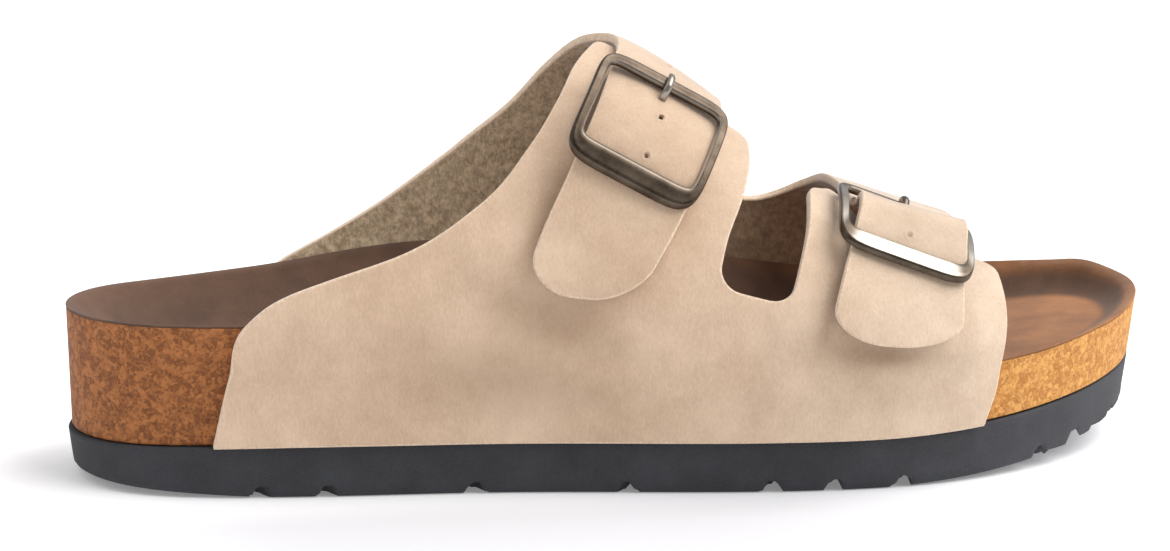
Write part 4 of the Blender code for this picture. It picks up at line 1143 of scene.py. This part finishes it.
def foam():
    """Dark foamed sole: a fine closed grain, faint clouds, and a few pale scuffs low on the side."""
    f = Finish("dark_foam")
    grain = f.noise(0.35 * MM, 3, 0.7)
    clouds = f.noise(12 * MM, 3, 0.6)
    mottle = f.mottle((grain, 1.1), (clouds, 0.7))
    toe = f.axis(0).between(*FOAM_PALER)
    dark = f.mix(toe, colour(43, 43, 47), colour(50, 50, 54))
    light = f.mix(toe, colour(62, 63, 67), colour(72, 73, 77))
    body = f.mix(mottle.between(*MOTTLE), dark, light)
    scuff = f.noise(1.3 * MM, 3, 0.6).between(0.72, 0.78) * f.noise(14 * MM, 2, 0.5).between(0.5, 0.65)
    low = 1 - f.axis(2).between(*FOAM_SCUFFS)
    scuffed = f.mix(scuff * low * 0.6, body, colour(150, 150, 150))
    height = grain * 0.7 + clouds * 0.3
    return f.done(scuffed, 0.72 + grain * 0.15, f.bump(height, 0.25, 0.2 * MM), specular_ior_level=0.4)


def old_metal():
    """Antiqued metal: a dark brown film, brighter where its field says, from polish and from painted
    reflection and highlight, with fine brushing.
    """
    f = Finish("old_metal")
    clouds = f.noise(5 * MM, 3, 0.6)
    brushed = f.noise(0.3 * MM, 2, 0.6)
    film = f.mix((clouds * 0.8 + brushed * 0.2).between(0.3, 0.7), colour(68, 58, 49), colour(96, 84, 72))
    # Polished edges, and painted reflections and highlights on the frames and prongs.
    polish_and_painted_reflection = f.mix(f.field("bright"), film, colour(214, 206, 194))
    roughness = 0.175 + clouds * 0.15 + brushed * 0.1
    return f.done(polish_and_painted_reflection, roughness, f.bump(brushed, 0.06, 0.1 * MM), metallic=1.0)


def pale_floor():
    """Plain pale floor with a painted shadow on the camera's side of the sandal, and a faint glow, painted
    light that lightens its shadows.
    """
    f = Finish("pale_floor")
    # Painted shadow: a darker patch on the floor beside the sandal, on the camera's side.
    along = f.axis(0).between(*FLOOR_HEEL) * (1 - f.axis(0).between(*FLOOR_TOE))
    painted_floor_shadow = along * (1 - f.axis(1).between(*FLOOR_BACK)) * f.axis(1).between(*FLOOR_FRONT)
    body = f.mix(painted_floor_shadow, colour(247, 247, 249), colour(195, 195, 199))
    return f.done(body, 0.8, None, specular_ior_level=0.2, emission_color=(1, 1, 1, 1),
                  emission_strength=0.21)


# Pieces, stage and light

def heel_place():
    """Where the back of the heel is in the row frame: the outsole's box against the outline's."""
    low, high = (np.array(corner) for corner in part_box("outsole"))
    outline = ring(sole_height("ledge", EDGE[:, 0]), 0.0)
    middle = (low + high) / 2 - (outline.min(0) + outline.max(0)) / 2
    return np.array([middle[0], middle[1], 0.0])


HEEL = heel_place()
SHARP_DEGREES = 50


def add_piece(name, shape, finish, node):
    """A mesh object at the origin from points, faces and fields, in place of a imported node."""
    points, faces, *fields = shape
    mesh = bpy.data.meshes.new(name)
    mesh.from_pydata((points + HEEL).tolist(), [], faces.tolist())
    for field, values in (fields[0] if fields else {}).items():
        mesh.attributes.new(field, "FLOAT", "POINT").data.foreach_set("value", values.astype(np.float32))
    work = bmesh.new()
    work.from_mesh(mesh)
    bmesh.ops.remove_doubles(work, verts=work.verts, dist=WELD)
    bmesh.ops.recalc_face_normals(work, faces=work.faces)
    work.to_mesh(mesh)
    work.free()
    mesh.shade_smooth()
    mesh.set_sharp_from_angle(angle=math.radians(SHARP_DEGREES))
    mesh.materials.append(finish)
    piece = bpy.data.objects.new(name, mesh)
    bpy.context.scene.collection.objects.link(piece)
    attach(piece, "root")
    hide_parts(node)
    return piece


def sandal():
    """Every piece of the sandal."""
    add_piece("outsole_body", skin(outsole_rings()), foam(), "outsole")
    add_piece("cork_body", skin(cork_rings()), cork(), "cork_footbed")
    add_piece("insole_lining", insole(), insole_suede(), "insole")
    leather = suede()
    rear, front = buckle_place(REAR_STRAP, REAR_BUCKLE), buckle_place(FRONT_STRAP, FRONT_BUCKLE)
    for name, sheet, over in (("outer_panel", outer_panel(), "all"),
                              ("inner_panel_and_straps", inner_panel(), "bars")):
        points, faces, fields = sheet.wall()
        # Painted shade under and round the buckles, on the outer face only.
        fields["tuck"] = np.maximum(shade_under_buckle(points, rear, over), shade_under_buckle(points, front, over)) * fields["side"]
        add_piece(name, (points, faces, fields), leather, "upper")
    metal = old_metal()
    for end, place, (side, bar, prong) in (("rear", rear, REAR_PAINTED_REFLECTION), ("front", front, FRONT_PAINTED_REFLECTION)):
        shapes = {"frame": buckle_frame(place, side, bar), "prong": buckle_prong(place, prong)}
        for kind, shape in shapes.items():
            add_piece(f"{end}_{kind}", shape, metal, f"{end}_buckle_{kind}")


FLOOR_HALF = 6.0


def floor():
    """A wide level sheet under the sole."""
    mesh = bpy.data.meshes.new("floor")
    corners = [(-FLOOR_HALF, -FLOOR_HALF, 0), (FLOOR_HALF, -FLOOR_HALF, 0), (FLOOR_HALF, FLOOR_HALF, 0),
               (-FLOOR_HALF, FLOOR_HALF, 0)]
    mesh.from_pydata(corners, [], [(0, 1, 2, 3)])
    mesh.materials.append(pale_floor())
    made = bpy.data.objects.new("floor", mesh)
    bpy.context.scene.collection.objects.link(made)


# The camera looks from the outer side, a little from behind and above; the photo is 1170 pixels wide.
PHOTO_WIDTH = 1170
PHOTO_HEIGHT = 551
TARGET = (135 * MM, 0.0, 45 * MM)
TARGET_PIXEL = (618.8, 273.7)
CAMERA_AZIMUTH = -9
CAMERA_ELEVATION = 11
CAMERA_DISTANCE = 0.9
CAMERA_LENS = 111.7
CAMERA_SENSOR = 36


def aim(made, place, target):
    """Puts an object at a place, looking at a target."""
    made.location = place
    made.rotation_euler = (Vector(target) - Vector(place)).to_track_quat("-Z", "Y").to_euler()
    bpy.context.scene.collection.objects.link(made)


def camera():
    """The photo's view of the sandal."""
    data = bpy.data.cameras.new("camera")
    data.lens, data.sensor_width = CAMERA_LENS, CAMERA_SENSOR
    data.shift_x = (PHOTO_WIDTH / 2 - TARGET_PIXEL[0]) / PHOTO_WIDTH
    data.shift_y = (TARGET_PIXEL[1] - PHOTO_HEIGHT / 2) / PHOTO_WIDTH
    azimuth, elevation = math.radians(CAMERA_AZIMUTH), math.radians(CAMERA_ELEVATION)
    back = Vector((math.sin(azimuth) * math.cos(elevation), -math.cos(azimuth) * math.cos(elevation),
                   math.sin(elevation)))
    target = Vector(TARGET) + Vector(HEEL)
    made = bpy.data.objects.new("camera", data)
    aim(made, target + back * CAMERA_DISTANCE, target)
    bpy.context.scene.camera = made


# Lights: name, where from, width in degrees, and strength. The key comes from above, in front and to the
# right, as wide as a large soft box. The fill is weak and very wide, from behind the heel.
LIGHTS = (("key", (0.62, -0.25, 0.75), 55, 2.6), ("fill", (-0.75, -0.10, 0.65), 80, 0.7))
# The sky is brightest towards a soft box above, behind and to the right: brightness against the cosine of the
# angle from it.
BOX_FROM = (0.53, 0.27, 0.80)
SKY_LEVELS = ((0.0, 0.24), (0.35, 0.44), (0.8, 0.65), (0.94, 0.65), (0.975, 3.0))


def studio():
    """A wide key light, a weak fill, and a dim sky that brightens towards a soft box."""
    for name, place, width, strength in LIGHTS:
        light = bpy.data.lights.new(name, "SUN")
        light.angle, light.energy = math.radians(width), strength
        aim(bpy.data.objects.new(name, light), place, (0, 0, 0))
    world = bpy.data.worlds.new("studio")
    world.use_nodes = True
    bpy.context.scene.world = world
    tree = world.node_tree
    towards = tree.nodes.new("ShaderNodeVectorMath")
    towards.operation = "DOT_PRODUCT"
    tree.links.new(tree.nodes.new("ShaderNodeTexCoord").outputs["Generated"], towards.inputs[0])
    towards.inputs[1].default_value = Vector(BOX_FROM).normalized()
    ramp = tree.nodes.new("ShaderNodeValToRGB")
    tree.links.new(towards.outputs["Value"], ramp.inputs[0])
    stops = ramp.color_ramp.elements
    for _ in SKY_LEVELS[2:]:
        stops.new(1.0)
    for stop, (cosine, level) in zip(stops, SKY_LEVELS):
        stop.position = cosine
        stop.color = (level, level, level, 1)
    tree.links.new(ramp.outputs[0], tree.nodes["Background"].inputs["Color"])
    bpy.context.scene.view_settings.view_transform = "Standard"


camera()
sandal()
floor()
studio()
